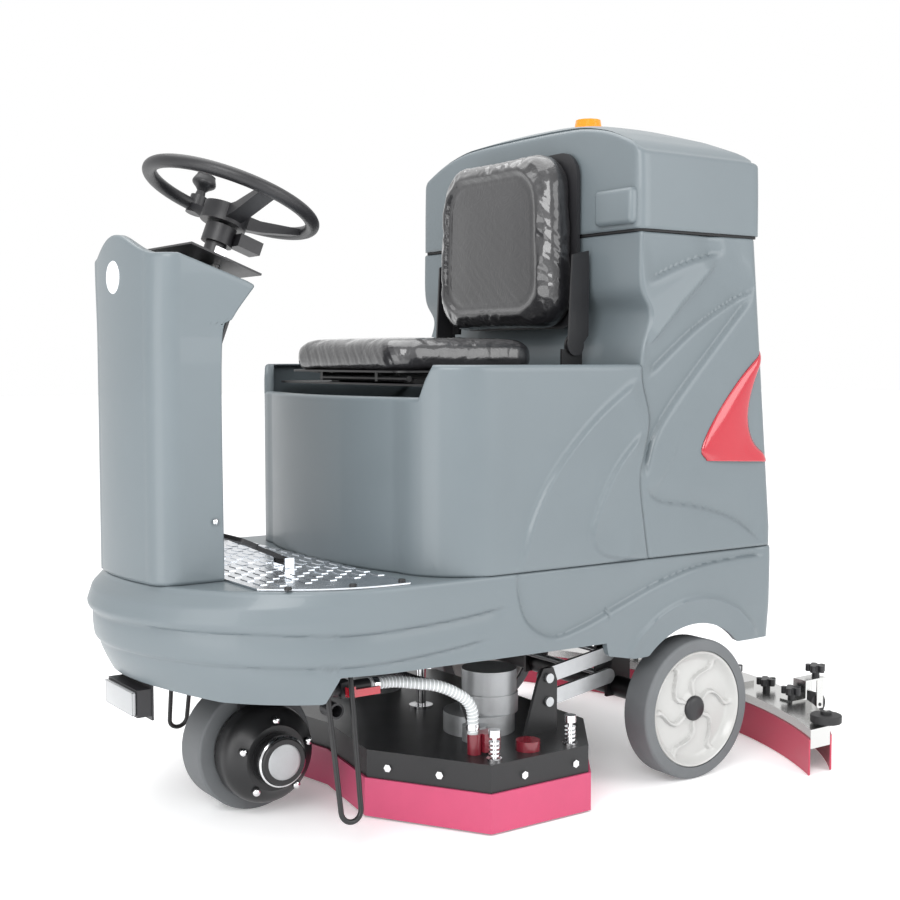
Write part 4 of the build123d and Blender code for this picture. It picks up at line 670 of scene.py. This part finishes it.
def tank_half(start, rear):
    """Left half of the tank's outline, front middle to back middle, for one height per column."""
    front = np.linspace(0, 1, tank_front_steps)
    turn = np.radians(np.linspace(0, 90, tank_turn_steps + 1))[1:]
    side = np.linspace(0, 1, tank_side_steps + 1)[1:]
    back = np.linspace(0, 1, tank_back_steps + 1)[1:]
    edge = 0.010
    x = np.concatenate([front * (half_body - edge), half_body - edge + edge * np.sin(turn),
                        np.full(tank_side_steps, half_body),
                        half_body - tank_corner * (1 - np.cos(turn)),
                        (half_body - tank_corner) * (1 - back)])
    parts = np.cumsum([tank_front_steps, tank_turn_steps, tank_side_steps, tank_turn_steps])
    y = start.copy()
    y[parts[0]:parts[1]] += edge * (1 - np.cos(turn))
    first, last = start[parts[1]:parts[2]] + edge, rear[parts[1]:parts[2]] - tank_corner
    y[parts[1]:parts[2]] = first + side * (last - first)
    y[parts[2]:parts[3]] = rear[parts[2]:parts[3]] - tank_corner * (1 - np.sin(turn))
    y[parts[3]:] = rear[parts[3]:]
    return x, y


def tank_outline(z):
    """All round the tank: front middle, left, back, right, front middle. The back leans forward."""
    rise = np.clip((z - tank_low.z - 0.040) / (tank_high.z - tank_low.z - 0.040), 0, 1)
    rear, start = tank_rear_y - tank_lean * rise, seam_y(z) + 0.0005
    count = (len(z) + 1) // 2
    left_x, left_y = tank_half(start[:count], rear[:count])
    right_x, right_y = tank_half(start[count - 1:][::-1], rear[count - 1:][::-1])
    return np.concatenate([left_x, -right_x[::-1][1:]]), np.concatenate([left_y, right_y[::-1][1:]])


tank_lines = [
    ([(0.173, 1.054), (0.290, 1.100), (0.412, 1.131)], -0.012, 0.055),
    ([(0.179, 0.919), (0.291, 1.024), (0.391, 1.112)], 0.010, 0.050),
    ([(0.179, 0.861), (0.342, 0.975), (0.516, 1.061)], -0.012, 0.060),
    ([(0.182, 0.651), (0.205, 0.733), (0.261, 0.809), (0.394, 0.942), (0.498, 1.042)], -0.012, 0.060),
    ([(0.182, 0.639), (0.223, 0.607), (0.349, 0.584), (0.455, 0.549), (0.560, 0.480)], -0.010, 0.045),
]


def tank_relief(x, y, z):
    """The leaf creases on each flank of the tank; its front and back stay plain."""
    push = np.zeros_like(y)
    for line, height, slow in tank_lines:
        push = push + crease(y, z, line, height, slow, 0.003, 0.05)
    return push * (np.abs(x) > half_body - 0.001) * np.clip((tank_rear_y - 0.03 - y) / 0.04, 0, 1)


tank_columns = (tank_front_steps + 2 * tank_turn_steps + tank_side_steps + tank_back_steps) * 2 - 1
tank_rows = shell(tank_outline, np.full(tank_columns, tank_low.z), np.full(tank_columns, tank_high.z),
                  120, 0.006, 0.012, tank_relief)
tank = grid_skin(tank_rows)
face_out(tank)
smooth(tank, 60)
thicken(tank)
settle(tank, "recovery_tank_shell", "chassis", "body_grey", replaced=["recovery_tank"])

# %% [markdown]
# ## The lid
# The lid arches from side to side and falls away to the back. Its height at any spot is the lower of
# two curves, the arch seen from the front and the slope seen from the side, blended where they meet
# so that the edge between them is soft. A ring of wall is laid first, then turned in over the top.

# %% Height of the lid
lid_base = lid_low.z + 0.0052
lid_front_y, lid_rear_y = seam_base_y - 0.012, tank_rear_y - 0.050
lid_crown = lid_base + 0.264
arch_line_x = [0, 0.10, 0.20, 0.30, 0.365, 0.399]
arch_line_z = [lid_crown, lid_crown - 0.006, lid_crown - 0.024, lid_crown - 0.055, lid_crown - 0.083,
               lid_base + 0.150]
slope_line = smooth_line([(lid_front_y, lid_crown - 0.034), (lid_front_y + 0.060, lid_crown - 0.012),
                          (lid_front_y + 0.190, lid_crown + 0.010), (lid_rear_y - 0.070, lid_crown - 0.040),
                          (lid_rear_y, lid_crown - 0.100)])


def lid_height(x, y):
    """Top of the lid over each spot."""
    arch = np.interp(np.abs(x), arch_line_x, arch_line_z)
    slope = np.interp(y, slope_line[:, 0], slope_line[:, 1])
    soft = 0.012
    return -soft * np.log(np.exp(-(arch - lid_base) / soft) + np.exp(-(slope - lid_base) / soft)) + lid_base


# %% Lid shell
def rounded_ring(front, back, half, corner, per_side=40, per_turn=8):
    """x and y round a rectangle with rounded corners, closed on itself."""
    turn = np.radians(np.linspace(0, 90, per_turn + 1))
    xs, ys = [], []
    corners = [(half - corner, back - corner, 0), (corner - half, back - corner, 90),
               (corner - half, front + corner, 180), (half - corner, front + corner, 270)]
    for middle_x, middle_y, start in corners:
        xs.append(middle_x + corner * np.cos(turn + math.radians(start)))
        ys.append(middle_y + corner * np.sin(turn + math.radians(start)))
    corner_x, corner_y = np.concatenate(xs + [xs[0][:1]]), np.concatenate(ys + [ys[0][:1]])
    ring_x, ring_y = [], []
    for k in range(len(corner_x) - 1):
        run_x, run_y = corner_x[k + 1] - corner_x[k], corner_y[k + 1] - corner_y[k]
        steps = per_side if math.hypot(run_x, run_y) > corner else 1
        for part in np.arange(steps) / steps:
            ring_x.append(corner_x[k] + part * run_x)
            ring_y.append(corner_y[k] + part * run_y)
    ring_x.append(ring_x[0])
    ring_y.append(ring_y[0])
    return np.array(ring_x), np.array(ring_y)


ring_x, ring_y = rounded_ring(lid_front_y, lid_rear_y, half_body, 0.022)
lid_rows = []
edge_r = 0.012
wall_top = lid_height(ring_x * 0.97, ring_y) - edge_r
taper = 0.006
for part in np.linspace(0, 1, 26):
    shrink = 1 - taper * part ** 3
    lid_rows.append(np.stack([ring_x * shrink, ring_y, lid_base + (wall_top - lid_base) * part], axis=1))
middle_y = (lid_front_y + lid_rear_y) / 2
for turn in np.radians([20, 40, 60, 80]):
    inward = edge_r * (1 - math.cos(turn))
    scale_x, scale_y = (half_body - inward) / half_body, 1 - inward / (lid_rear_y - middle_y)
    x, y = ring_x * scale_x * (1 - taper), middle_y + (ring_y - middle_y) * scale_y
    lid_rows.append(np.stack([x, y, wall_top + edge_r * math.sin(turn)], axis=1))
for part in np.linspace(0.96, 0.001, 34):
    x, y = ring_x * part * (1 - taper), middle_y + (ring_y - middle_y) * part
    lid_rows.append(np.stack([x, y, lid_height(x, y)], axis=1))
lid = grid_skin(lid_rows)
face_out(lid)
smooth(lid, 60)
thicken(lid)
settle(lid, "tank_lid_shell", "lid", "body_grey", "lid_grey", replaced=["tank_lid"])

# %% [markdown]
# A black rubber gasket shows as a dark line between lid and tank. It is a low ring, a little smaller
# than the lid.

# %% Gasket
gasket_x, gasket_y = rounded_ring(lid_front_y + 0.004, lid_rear_y - 0.004, half_body - 0.004, 0.020)
gasket = grid_skin([np.stack([gasket_x * k, gasket_y if k == 1 else gasket_y * 0 + middle_y
                              + (gasket_y - middle_y) * 0.8, 0 * gasket_x + z], axis=1)
                    for k, z in ((0.94, lid_low.z), (1, lid_low.z), (1, lid_base), (0.94, lid_base))])
face_out(gasket)
settle(gasket, "lid_gasket", "lid", "body_grey", "seam_black")


# %% [markdown]
# Boxy moulded details are a cube, scaled to size and given a generous bevel, which is how most small
# housings are drawn.

# %% Rounded block
def rounded_block(low, high, radius, segments=4):
    """A block between two corners with rounded edges."""
    size = [b - a for a, b in zip(low, high)]
    bpy.ops.mesh.primitive_cube_add(size=1, location=[(a + b) / 2 for a, b in zip(low, high)])
    block = bpy.context.object
    block.scale = size
    bpy.ops.object.transform_apply(location=True, rotation=True, scale=True)
    bevel = block.modifiers.new("Bevel", "BEVEL")
    bevel.width = radius
    bevel.segments = segments
    bevel.limit_method = "NONE"
    apply_modifiers(block)
    smooth(block, 40)
    return block


lug = rounded_block((half_body - 0.128, lid_front_y - 0.016, lid_base + 0.010),
                    (half_body - 0.012, lid_front_y + 0.012, lid_base + 0.084), 0.011)
settle(lug, "lid_lifting_lug", "lid", "body_grey", "lid_grey")

# %% [markdown]
# ## The steering column
# The column is a tall U-shaped cover, open towards the driver. It is widest near the top, where a
# brow shields the panel and the cheeks flare back.

# %% Column cover
column_front_y, column_half = column_low.y, column_high.x
column_rear_y = column_front_y + 0.145
column_corner, column_crown = 0.052, 0.022
cheek_z = [column_low.z, column_high.z - 0.215, column_high.z - 0.156, column_high.z - 0.092]
cheek_y = [column_rear_y, column_rear_y, column_rear_y + 0.022, column_rear_y + 0.068]
cheek_curve = smooth_line(list(zip(cheek_z, cheek_y)))
brow_dome = 0.040
column_steps = (40, 14, 16)


def column_outline(z):
    """Left rear edge, round the front, to the right rear edge, flared at the top."""
    rear = np.interp(z, cheek_curve[:, 0], cheek_curve[:, 1])
    corner_y = column_front_y + column_crown * 0.55 + column_corner
    x, y = u_outline(rear, column_half, column_corner, corner_y, column_front_y, column_steps)
    flare = np.clip((z - column_high.z + 0.200) / 0.160, 0, 1)
    return x * (0.975 + 0.055 * flare * flare * (3 - 2 * flare)), y


column_columns = sum(column_steps) * 2 - 1
top_x, top_y = column_outline(np.full(column_columns, column_high.z - 0.09))
side_fall = np.interp(top_y, [column_front_y + 0.060, column_rear_y + 0.068], [brow_dome, 0.092])
dome = brow_dome * (1 + np.cos(math.pi * np.clip(np.abs(top_x) / 0.150, 0, 1))) / 2
column_rows = shell(column_outline, np.full(column_columns, column_low.z), column_high.z - side_fall + dome,
                    90, 0.006, 0.010)
column = grid_skin([row[::-1] for row in column_rows])
smooth(column, 60)
thicken(column)
settle(column, "column_cover_shell", "chassis", "body_grey", replaced=["column_cover"])

# %% [markdown]
# A plain round badge sits high on the front, and one dome-headed screw holds each side.


# %% Dome and disc helper
def turned(profile, centre, axis, steps=40):
    """A turned piece: profile is (radius, height) points, spun about an axis through centre."""
    angle = np.linspace(0, 2 * math.pi, steps + 1)
    order = {"X": (2, 0, 1), "Y": (1, 2, 0)}[axis]
    rows = []
    for radius, height in profile:
        around = [radius * np.cos(angle), radius * np.sin(angle), np.full(steps + 1, float(height))]
        rows.append(np.stack([around[k] for k in order], axis=1) + np.array(centre))
    piece = grid_skin(rows)
    face_out(piece)
    smooth(piece, 40)
    return piece


badge = turned([(0.0002, -0.004), (0.029, -0.004), (0.031, -0.002), (0.031, 0.003)],
               (0, column_front_y + 0.0022, column_high.z - 0.079), "Y")
settle(badge, "column_badge", "chassis", "body_grey", "badge_white")
for side, word in ((1, "left"), (-1, "right")):
    screw_profile = [(0.0002, 0.0030), (0.003, 0.0027), (0.0055, 0.0010), (0.0060, -0.001)]
    screw = turned([(radius, height * side) for radius, height in screw_profile],
                   (side * column_half, column_rear_y - 0.018, column_low.z + 0.112), "X", 20)
    settle(screw, "column_screw_" + word, "chassis", "bright_steel")

# %% [markdown]
# ## The red fins
# Each fin is a blade of glossy red plastic with a hollow back edge. It is laid between its front and
# back curves, swells in the middle, and follows the corner of the tank where it runs past the flat.

# %% Fins
fin_front = smooth_line([(axle_y + 0.026, rim_z + 0.196), (axle_y + 0.010, rim_z + 0.223),
                         (axle_y + 0.050, rim_z + 0.290), (axle_y + 0.124, rim_z + 0.372),
                         (axle_y + 0.206, rim_z + 0.440)], 14)
fin_back = smooth_line([(axle_y + 0.236, rim_z + 0.186), (axle_y + 0.170, rim_z + 0.230),
                        (axle_y + 0.150, rim_z + 0.290), (axle_y + 0.166, rim_z + 0.360),
                        (axle_y + 0.206, rim_z + 0.440)], 14)
fin_across = 22
for side, word in ((1, "left"), (-1, "right")):
    rows = []
    for front_point, back_point in zip(fin_front, fin_back):
        part = np.linspace(0, 1, fin_across)
        y = front_point[0] + part * (back_point[0] - front_point[0])
        z = front_point[1] + part * (back_point[1] - front_point[1])
        width = abs(back_point[0] - front_point[0])
        swell = min(0.0064, 0.25 * width + 0.0006) * np.sqrt(np.clip(1 - (2 * part - 1) ** 2, 0, 1))
        corner_start = tank_rear_y - tank_corner - tank_lean * (z - tank_low.z) / (tank_high.z - tank_low.z)
        angle = np.clip((y - corner_start) / tank_corner, 0, 1.5)
        radius = tank_corner + 0.0006 + swell
        x = np.where(angle > 0, half_body - tank_corner + radius * np.cos(angle), half_body + 0.0006 + swell)
        y = np.where(angle > 0, corner_start + radius * np.sin(angle), y)
        rows.append(np.stack([side * x, y, z], axis=1))
    fin = grid_skin(rows)
    smooth(fin, 60)
    thicken(fin, 0.0012, -side)
    settle(fin, "side_fin_" + word, "chassis", "red_plastic", replaced=["side_fins"] if side == 1 else ())

# %% [markdown]
# ## Rear wheels
# The rims are light grey plastic: a bright bead ring, a shallow dish and six curved ribs that sweep
# from the hub to the rim. The rim is one turned profile, and the ribs are a ridge raised on the dish
# by a formula in the angle, so each rib bends as it runs out.

# %% Rims
rim_r = 0.1256
rim_profile = [(0.0122, -0.012), (0.026, -0.012), (0.034, -0.018)]
rim_profile += [(r, -0.019) for r in np.linspace(0.038, 0.104, 34)]
rim_profile += [(0.109, -0.016), (0.114, -0.010), (0.118, -0.004), (0.1205, -0.0008), (0.123, 0.0),
                (rim_r, -0.003), (rim_r, -0.064), (0.120, -0.066), (0.116, -0.060), (0.114, -0.040),
                (0.100, -0.032),
                (0.040, -0.030), (0.030, -0.064), (0.0122, -0.066), (0.0122, -0.012)]
rim_steps = 360


def rim_piece(side, outer_x):
    """One rim, with its ribs raised on the outer dish."""
    angle = np.linspace(0, 2 * math.pi, rim_steps + 1)
    rows = []
    for place, (radius, depth) in enumerate(rim_profile):
        raised = np.zeros_like(angle)
        if 2 <= place <= 38:
            outward = (radius - 0.034) / 0.08
            bend = 0.50 * outward - 0.16 * math.sin(2 * math.pi * min(outward, 1))
            across = (np.mod(angle + bend, math.pi / 3) - math.pi / 6) * radius
            half_width = 0.0042 + 0.001 * (radius - 0.034) / 0.08
            ridge = np.clip((half_width - np.abs(across)) / 0.003 + 0.5, 0, 1)
            raised = 0.0080 * ridge * ridge * (3 - 2 * ridge) * min(1, (0.116 - radius) / 0.010)
        x, turn = outer_x + side * (depth + raised), side * angle
        rows.append(np.stack([x, axle_y + radius * np.cos(turn), axle_z + radius * np.sin(turn)], axis=1))
    piece = grid_skin(rows)
    face_out(piece)
    smooth(piece, 50)
    return piece


for side, word in ((1, "left"), (-1, "right")):
    low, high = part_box("rear_tyre_" + word)
    outer_x = high.x if side == 1 else low.x
    rim = rim_piece(side, outer_x)
    settle(rim, "rear_rim_ribbed_" + word, "rear_wheel_" + word, "rim_plastic", replaced=["rear_rim_" + word])
    cap_profile = [(0.0002, 0.0), (0.019, -0.0006), (0.024, -0.003), (0.027, -0.007), (0.027, -0.016)]
    cap = turned([(r, side * h) for r, h in cap_profile], (outer_x - side * 0.002, axle_y, axle_z), "X")
    settle(cap, "hub_cap_" + word, "rear_wheel_" + word, "rim_plastic", "black_plastic")

# %% [markdown]
# ## The drive unit
# The hub motor's housing carries a bright ring round its flat grey cap, and five bright dome-headed
# bolts. The ring and the bolts are turned pieces laid on the node's own faces.

# %% Ring and bolts of the drive motor
motor_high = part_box("drive_motor")[1]
drive_low, drive_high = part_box("drive_tyre")
drive_y, drive_z = (drive_low.y + drive_high.y) / 2, (drive_low.z + drive_high.z) / 2
ring = turned([(0.0455, -0.002), (0.0455, -0.010), (0.0505, -0.010), (0.0505, -0.003), (0.0475, -0.001),
               (0.0455, -0.002)], (motor_high.x - 0.004, drive_y, drive_z), "X", 64)
settle(ring, "drive_motor_ring", "fork", "bright_steel")
cap = turned([(0.0002, 0.0016), (0.030, 0.0016), (0.034, 0.0006), (0.036, -0.0010), (0.0002, -0.0010)],
             (motor_high.x, drive_y, drive_z), "X", 48)
settle(cap, "drive_motor_cap", "fork", "cast_alloy")
bolt_circle, bolt_x = 0.074, motor_high.x - 0.0323
for k in range(5):
    angle = math.radians(18 + 72 * k)
    bolt = turned([(0.0002, 0.0042), (0.0040, 0.0038), (0.0068, 0.0022), (0.0078, 0.0), (0.0078, -0.002),
                   (0.0002, -0.002)],
                  (bolt_x, drive_y + bolt_circle * math.cos(angle), drive_z + bolt_circle * math.sin(angle)),
                  "X", 20)
    settle(bolt, f"drive_motor_bolt_{k + 1}", "fork", "bright_steel")

# %% [markdown]
# The work lamp's lens is a clear block that stands a little proud of its black case.

# %% Lamp lens
lamp_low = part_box("headlamp")[0]
lens_z = 0.256
lens_half, lens_rise = 0.0696, 0.0226
lens = rounded_block((-lens_half, lamp_low.y - 0.0008, lens_z - lens_rise),
                     (lens_half, lamp_low.y + 0.0078, lens_z + lens_rise), 0.003)
settle(lens, "headlamp_lens", "chassis", "clear_hose", "lamp_lens")

# %% [markdown]
# ## The clear hose and the black conduit
# Both are swept along the line of their own node: straight runs joined by arcs as large as the runs
# allow. A ring of points is carried along the line without twisting. The hose is smooth with a white
# wire wound inside it, and the conduit's radius rises and falls to make its corrugations. They hang
# between the fixed frame and the deck.


# %% Sweep helpers
def arc_line(points, spacing):
    """A polyline with its corners rounded by arcs, as many points a fixed step apart."""
    points = [np.array(point, float) for point in points]
    line = [points[0]]
    for before, at, after in zip(points, points[1:], points[2:]):
        run_in, run_out = at - before, after - at
        length_in, length_out = np.linalg.norm(run_in), np.linalg.norm(run_out)
        way_in, way_out = run_in / length_in, run_out / length_out
        turn = math.acos(float(np.clip(way_in @ way_out, -1, 1)))
        reach = 0.45 * min(length_in, length_out)
        radius = reach / math.tan(turn / 2)
        across = way_out - way_in * (way_in @ way_out)
        across = across / np.linalg.norm(across)
        start = at - way_in * reach
        for part in np.linspace(0, turn, 12):
            line.append(start + way_in * radius * math.sin(part) + across * radius * (1 - math.cos(part)))
    line.append(points[-1])
    line = np.array(line)
    travel = np.concatenate([[0], np.cumsum(np.linalg.norm(np.diff(line, axis=0), axis=1))])
    steps = np.linspace(0, travel[-1], int(travel[-1] / spacing) + 1)
    return np.stack([np.interp(steps, travel, line[:, k]) for k in range(3)], axis=1), steps


def carried_frames(line):
    """Two directions across the line at each point, carried along it without twist."""
    ways = np.gradient(line, axis=0)
    ways = ways / np.linalg.norm(ways, axis=1)[:, None]
    first = np.cross(ways[0], [1.0, 0.2, 0.1])
    sides, ups = [], []
    for way in ways:
        first = first - way * (first @ way)
        first = first / np.linalg.norm(first)
        sides.append(first)
        ups.append(np.cross(way, first))
    return np.array(sides), np.array(ups)


def swept(line, radii, around=20):
    """A closed tube along the line, whose radius may change from point to point."""
    sides, ups = carried_frames(line)
    angle = np.linspace(0, 2 * math.pi, around + 1)
    ring = sides[:, None, :] * np.cos(angle)[None, :, None] + ups[:, None, :] * np.sin(angle)[None, :, None]
    rows = line[:, None, :] + ring * np.asarray(radii)[:, None, None]
    start, end = line[0] + ring[0] * 0.0001, line[-1] + ring[-1] * 0.0001
    piece = grid_skin(np.concatenate([start[None], rows, end[None]]))
    face_out(piece)
    smooth(piece, 50)
    return piece


# %% Hose, its wire and its clamps
hose_points = [(0.305, -0.432, 0.290), (0.305, -0.380, 0.290), (0.343, -0.288, 0.276), (0.356, -0.226, 0.236),
               (0.356, -0.226, 0.1753)]
hose_line, hose_travel = arc_line(hose_points, 0.004)
hose_r = 0.011
hose = swept(hose_line, np.full(len(hose_line), hose_r), 24)
settle(hose, "solution_hose_tube", "chassis", "clear_hose", replaced=["solution_hose"])
fine_line, fine_travel = arc_line(hose_points, 0.0008)
sides, ups = carried_frames(fine_line)
wind = 2 * math.pi * fine_travel / 0.0075
coil = fine_line + (hose_r + 0.0002) * (sides * np.cos(wind)[:, None] + ups * np.sin(wind)[:, None])
wire = swept(coil[6:-6], np.full(len(coil) - 12, 0.0009), 6)
settle(wire, "solution_hose_wire", "chassis", "clear_hose", "badge_white")
clamps = []
for word, start in (("top", 2), ("bottom", len(hose_line) - 6)):
    clamp = swept(hose_line[start:start + 4], [0.0128, 0.0132, 0.0132, 0.0128], 28)
    clamps.append(settle(clamp, "hose_clamp_" + word, "chassis", "bright_steel"))
print("hose length", round(float(hose_travel[-1]), 3))

# %% Ribbed conduit
conduit_points = [(0.275, -0.422, 0.320), (0.276, -0.376, 0.314), (0.279, -0.330, 0.288),
                  (0.280, -0.204, 0.241), (0.281, -0.180, 0.175)]
conduit_line, conduit_travel = arc_line(conduit_points, 0.0011)
ribs = 0.0062 + 0.0009 * np.cos(2 * math.pi * conduit_travel / 0.0044)
conduit = swept(conduit_line, ribs, 16)
settle(conduit, "motor_conduit_ribbed", "chassis", "black_plastic", replaced=["motor_conduit"])
print("conduit length", round(float(conduit_travel[-1]), 3))

# %% Each hanging piece gets its own mesh
hanging = [(piece, hose_points) for piece in (hose, wire, *clamps)] + [(conduit, conduit_points)]
for piece, points in hanging:
    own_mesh(piece)

# %% [markdown]
# ## The seat
# The pads are foam under stretched vinyl, still in their wrapping. Each starts as a rounded slab a
# little smaller than its node, is remeshed evenly and blown up by a short cloth simulation, which
# gives the full, crowned shape that bevels never do. Movement is capped so that it stays in its place.
# The wrapping's folds are then raised across the edges.


# %% Padding helpers
def pad_skin(front, back, half, corner, profile, place):
    """A closed slab: profile is (share of the outline, height) points from middle to middle."""
    ring_u, ring_v = rounded_ring(front, back, half, corner, 12, 8)
    middle = (front + back) / 2
    rows = [place(ring_u * share, middle + (ring_v - middle) * share, height + 0 * ring_u)
            for share, height in profile]
    piece = grid_skin(rows)
    face_out(piece)
    return piece


def inflate(piece, cap, pressure=4.0, frames=20, voxel=0.006):
    """Remeshes a slab and swells it as cloth, moving no point further than cap."""
    remesh = piece.modifiers.new("Remesh", "REMESH")
    remesh.mode = "VOXEL"
    remesh.voxel_size = voxel
    apply_modifiers(piece)
    before = np.array([v.co for v in piece.data.vertices])
    cloth = piece.modifiers.new("Cloth", "CLOTH")
    cloth.settings.use_pressure = True
    cloth.settings.uniform_pressure_force = pressure
    cloth.settings.effector_weights.gravity = 0
    scene = bpy.context.scene
    for number in range(1, frames + 1):
        scene.frame_set(number)
    apply_modifiers(piece)
    scene.frame_set(1)
    after = np.array([v.co for v in piece.data.vertices])
    move = after - before
    length = np.linalg.norm(move, axis=1)
    after = before + move * np.minimum(1, cap / np.maximum(length, 1e-6))[:, None]
    piece.data.vertices.foreach_set("co", after.reshape(-1))
    piece.data.update()
    print(piece.name, "points", len(after), "largest move", round(float(length.max()), 4))


def fold_height(points, across, amount):
    """Small sharp ridges of a stretched wrapping, running along the first axis of across."""
    u, v = points @ np.array(across[0]), points @ np.array(across[1])
    bent = u + 0.012 * np.sin(31 * v + 4 * u) + 0.006 * np.sin(83 * v + 1.3)
    sharp = np.abs(np.sin(97 * bent)) * 0.6 + np.abs(np.sin(173 * bent + 11 * v)) * 0.4
    return amount * (sharp - 0.5)


def edge_weight(points, low, high, axes, least, reach):
    """One at the pad's edges along two axes, falling to least in its middle."""
    near = np.min([np.minimum(points[:, k] - low[k], high[k] - points[:, k]) for k in axes], axis=0)
    return least + (1 - least) * np.exp(-near / reach)


def soften(piece, weight, across, amount):
    """Subdivides once, then raises the folds where weight(points) is near one."""
    fine = piece.modifiers.new("Subdivision", "SUBSURF")
    fine.levels = fine.render_levels = 1
    apply_modifiers(piece)
    points = np.array([v.co for v in piece.data.vertices])
    normals = np.array([v.normal for v in piece.data.vertices])
    push = fold_height(points, across, amount) * weight(points)
    piece.data.vertices.foreach_set("co", (points + normals * push[:, None]).reshape(-1))
    piece.data.update()
    smooth(piece, 180)


# %% Seat cushion
cushion_low, cushion_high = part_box("seat_cushion")
inset = 0.007
slab = [(0.001, cushion_low.z), (0.5, cushion_low.z), (0.93, cushion_low.z), (0.985, cushion_low.z + 0.006),
        (1.0, cushion_low.z + 0.020), (1.0, cushion_high.z - 0.034), (0.98, cushion_high.z - 0.018),
        (0.93, cushion_high.z - 0.010), (0.5, cushion_high.z - 0.006), (0.001, cushion_high.z - 0.006)]
cushion = pad_skin(cushion_low.y + inset, cushion_high.y - inset, cushion_high.x - inset, 0.060, slab,
                   lambda u, v, w: np.stack([u, v, w], axis=1))
inflate(cushion, 0.008)
soften(cushion, lambda points: (edge_weight(points, cushion_low, cushion_high, (0, 1), 0.15, 0.035)
                                * (points[:, 2] > cushion_low.z + 0.004)), ((1, 0.7, 0), (0, 0.3, 1)), 0.0014)
settle(cushion, "seat_cushion_pad", "seat", "seat_vinyl", replaced=["seat_cushion"])

# %% Backrest cushion
rest_low, rest_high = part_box("seat_back_cushion")
thick = rest_high.y - rest_low.y


def rest_place(u, v, w):
    """Stands the slab up: its height runs up the backrest, which narrows towards the top."""
    up = np.clip((v - rest_low.z) / (rest_high.z - rest_low.z), 0, 1)
    return np.stack([u * (1 - 0.10 * up ** 2.2), rest_high.y - w, v], axis=1)


slab = [(0.001, 0.0), (0.5, 0.0), (0.93, 0.0), (0.985, 0.007), (1.0, 0.022), (1.0, thick - 0.042),
        (0.975, thick - 0.022), (0.92, thick - 0.011), (0.80, thick - 0.008), (0.74, thick - 0.020),
        (0.68, thick - 0.017), (0.4, thick - 0.014), (0.001, thick - 0.013)]
rest = pad_skin(rest_low.z + inset, rest_high.z - inset, rest_high.x - inset, 0.080, slab, rest_place)
inflate(rest, 0.008)
soften(rest, lambda points: (edge_weight(points, rest_low, rest_high, (0, 2), 0.12, 0.040)
                             * (points[:, 1] < rest_high.y - 0.004)), ((0.8, 0, 1), (0, 1, 0.3)), 0.0014)
settle(rest, "seat_back_pad", "backrest", "seat_vinyl", replaced=["seat_back_cushion"])
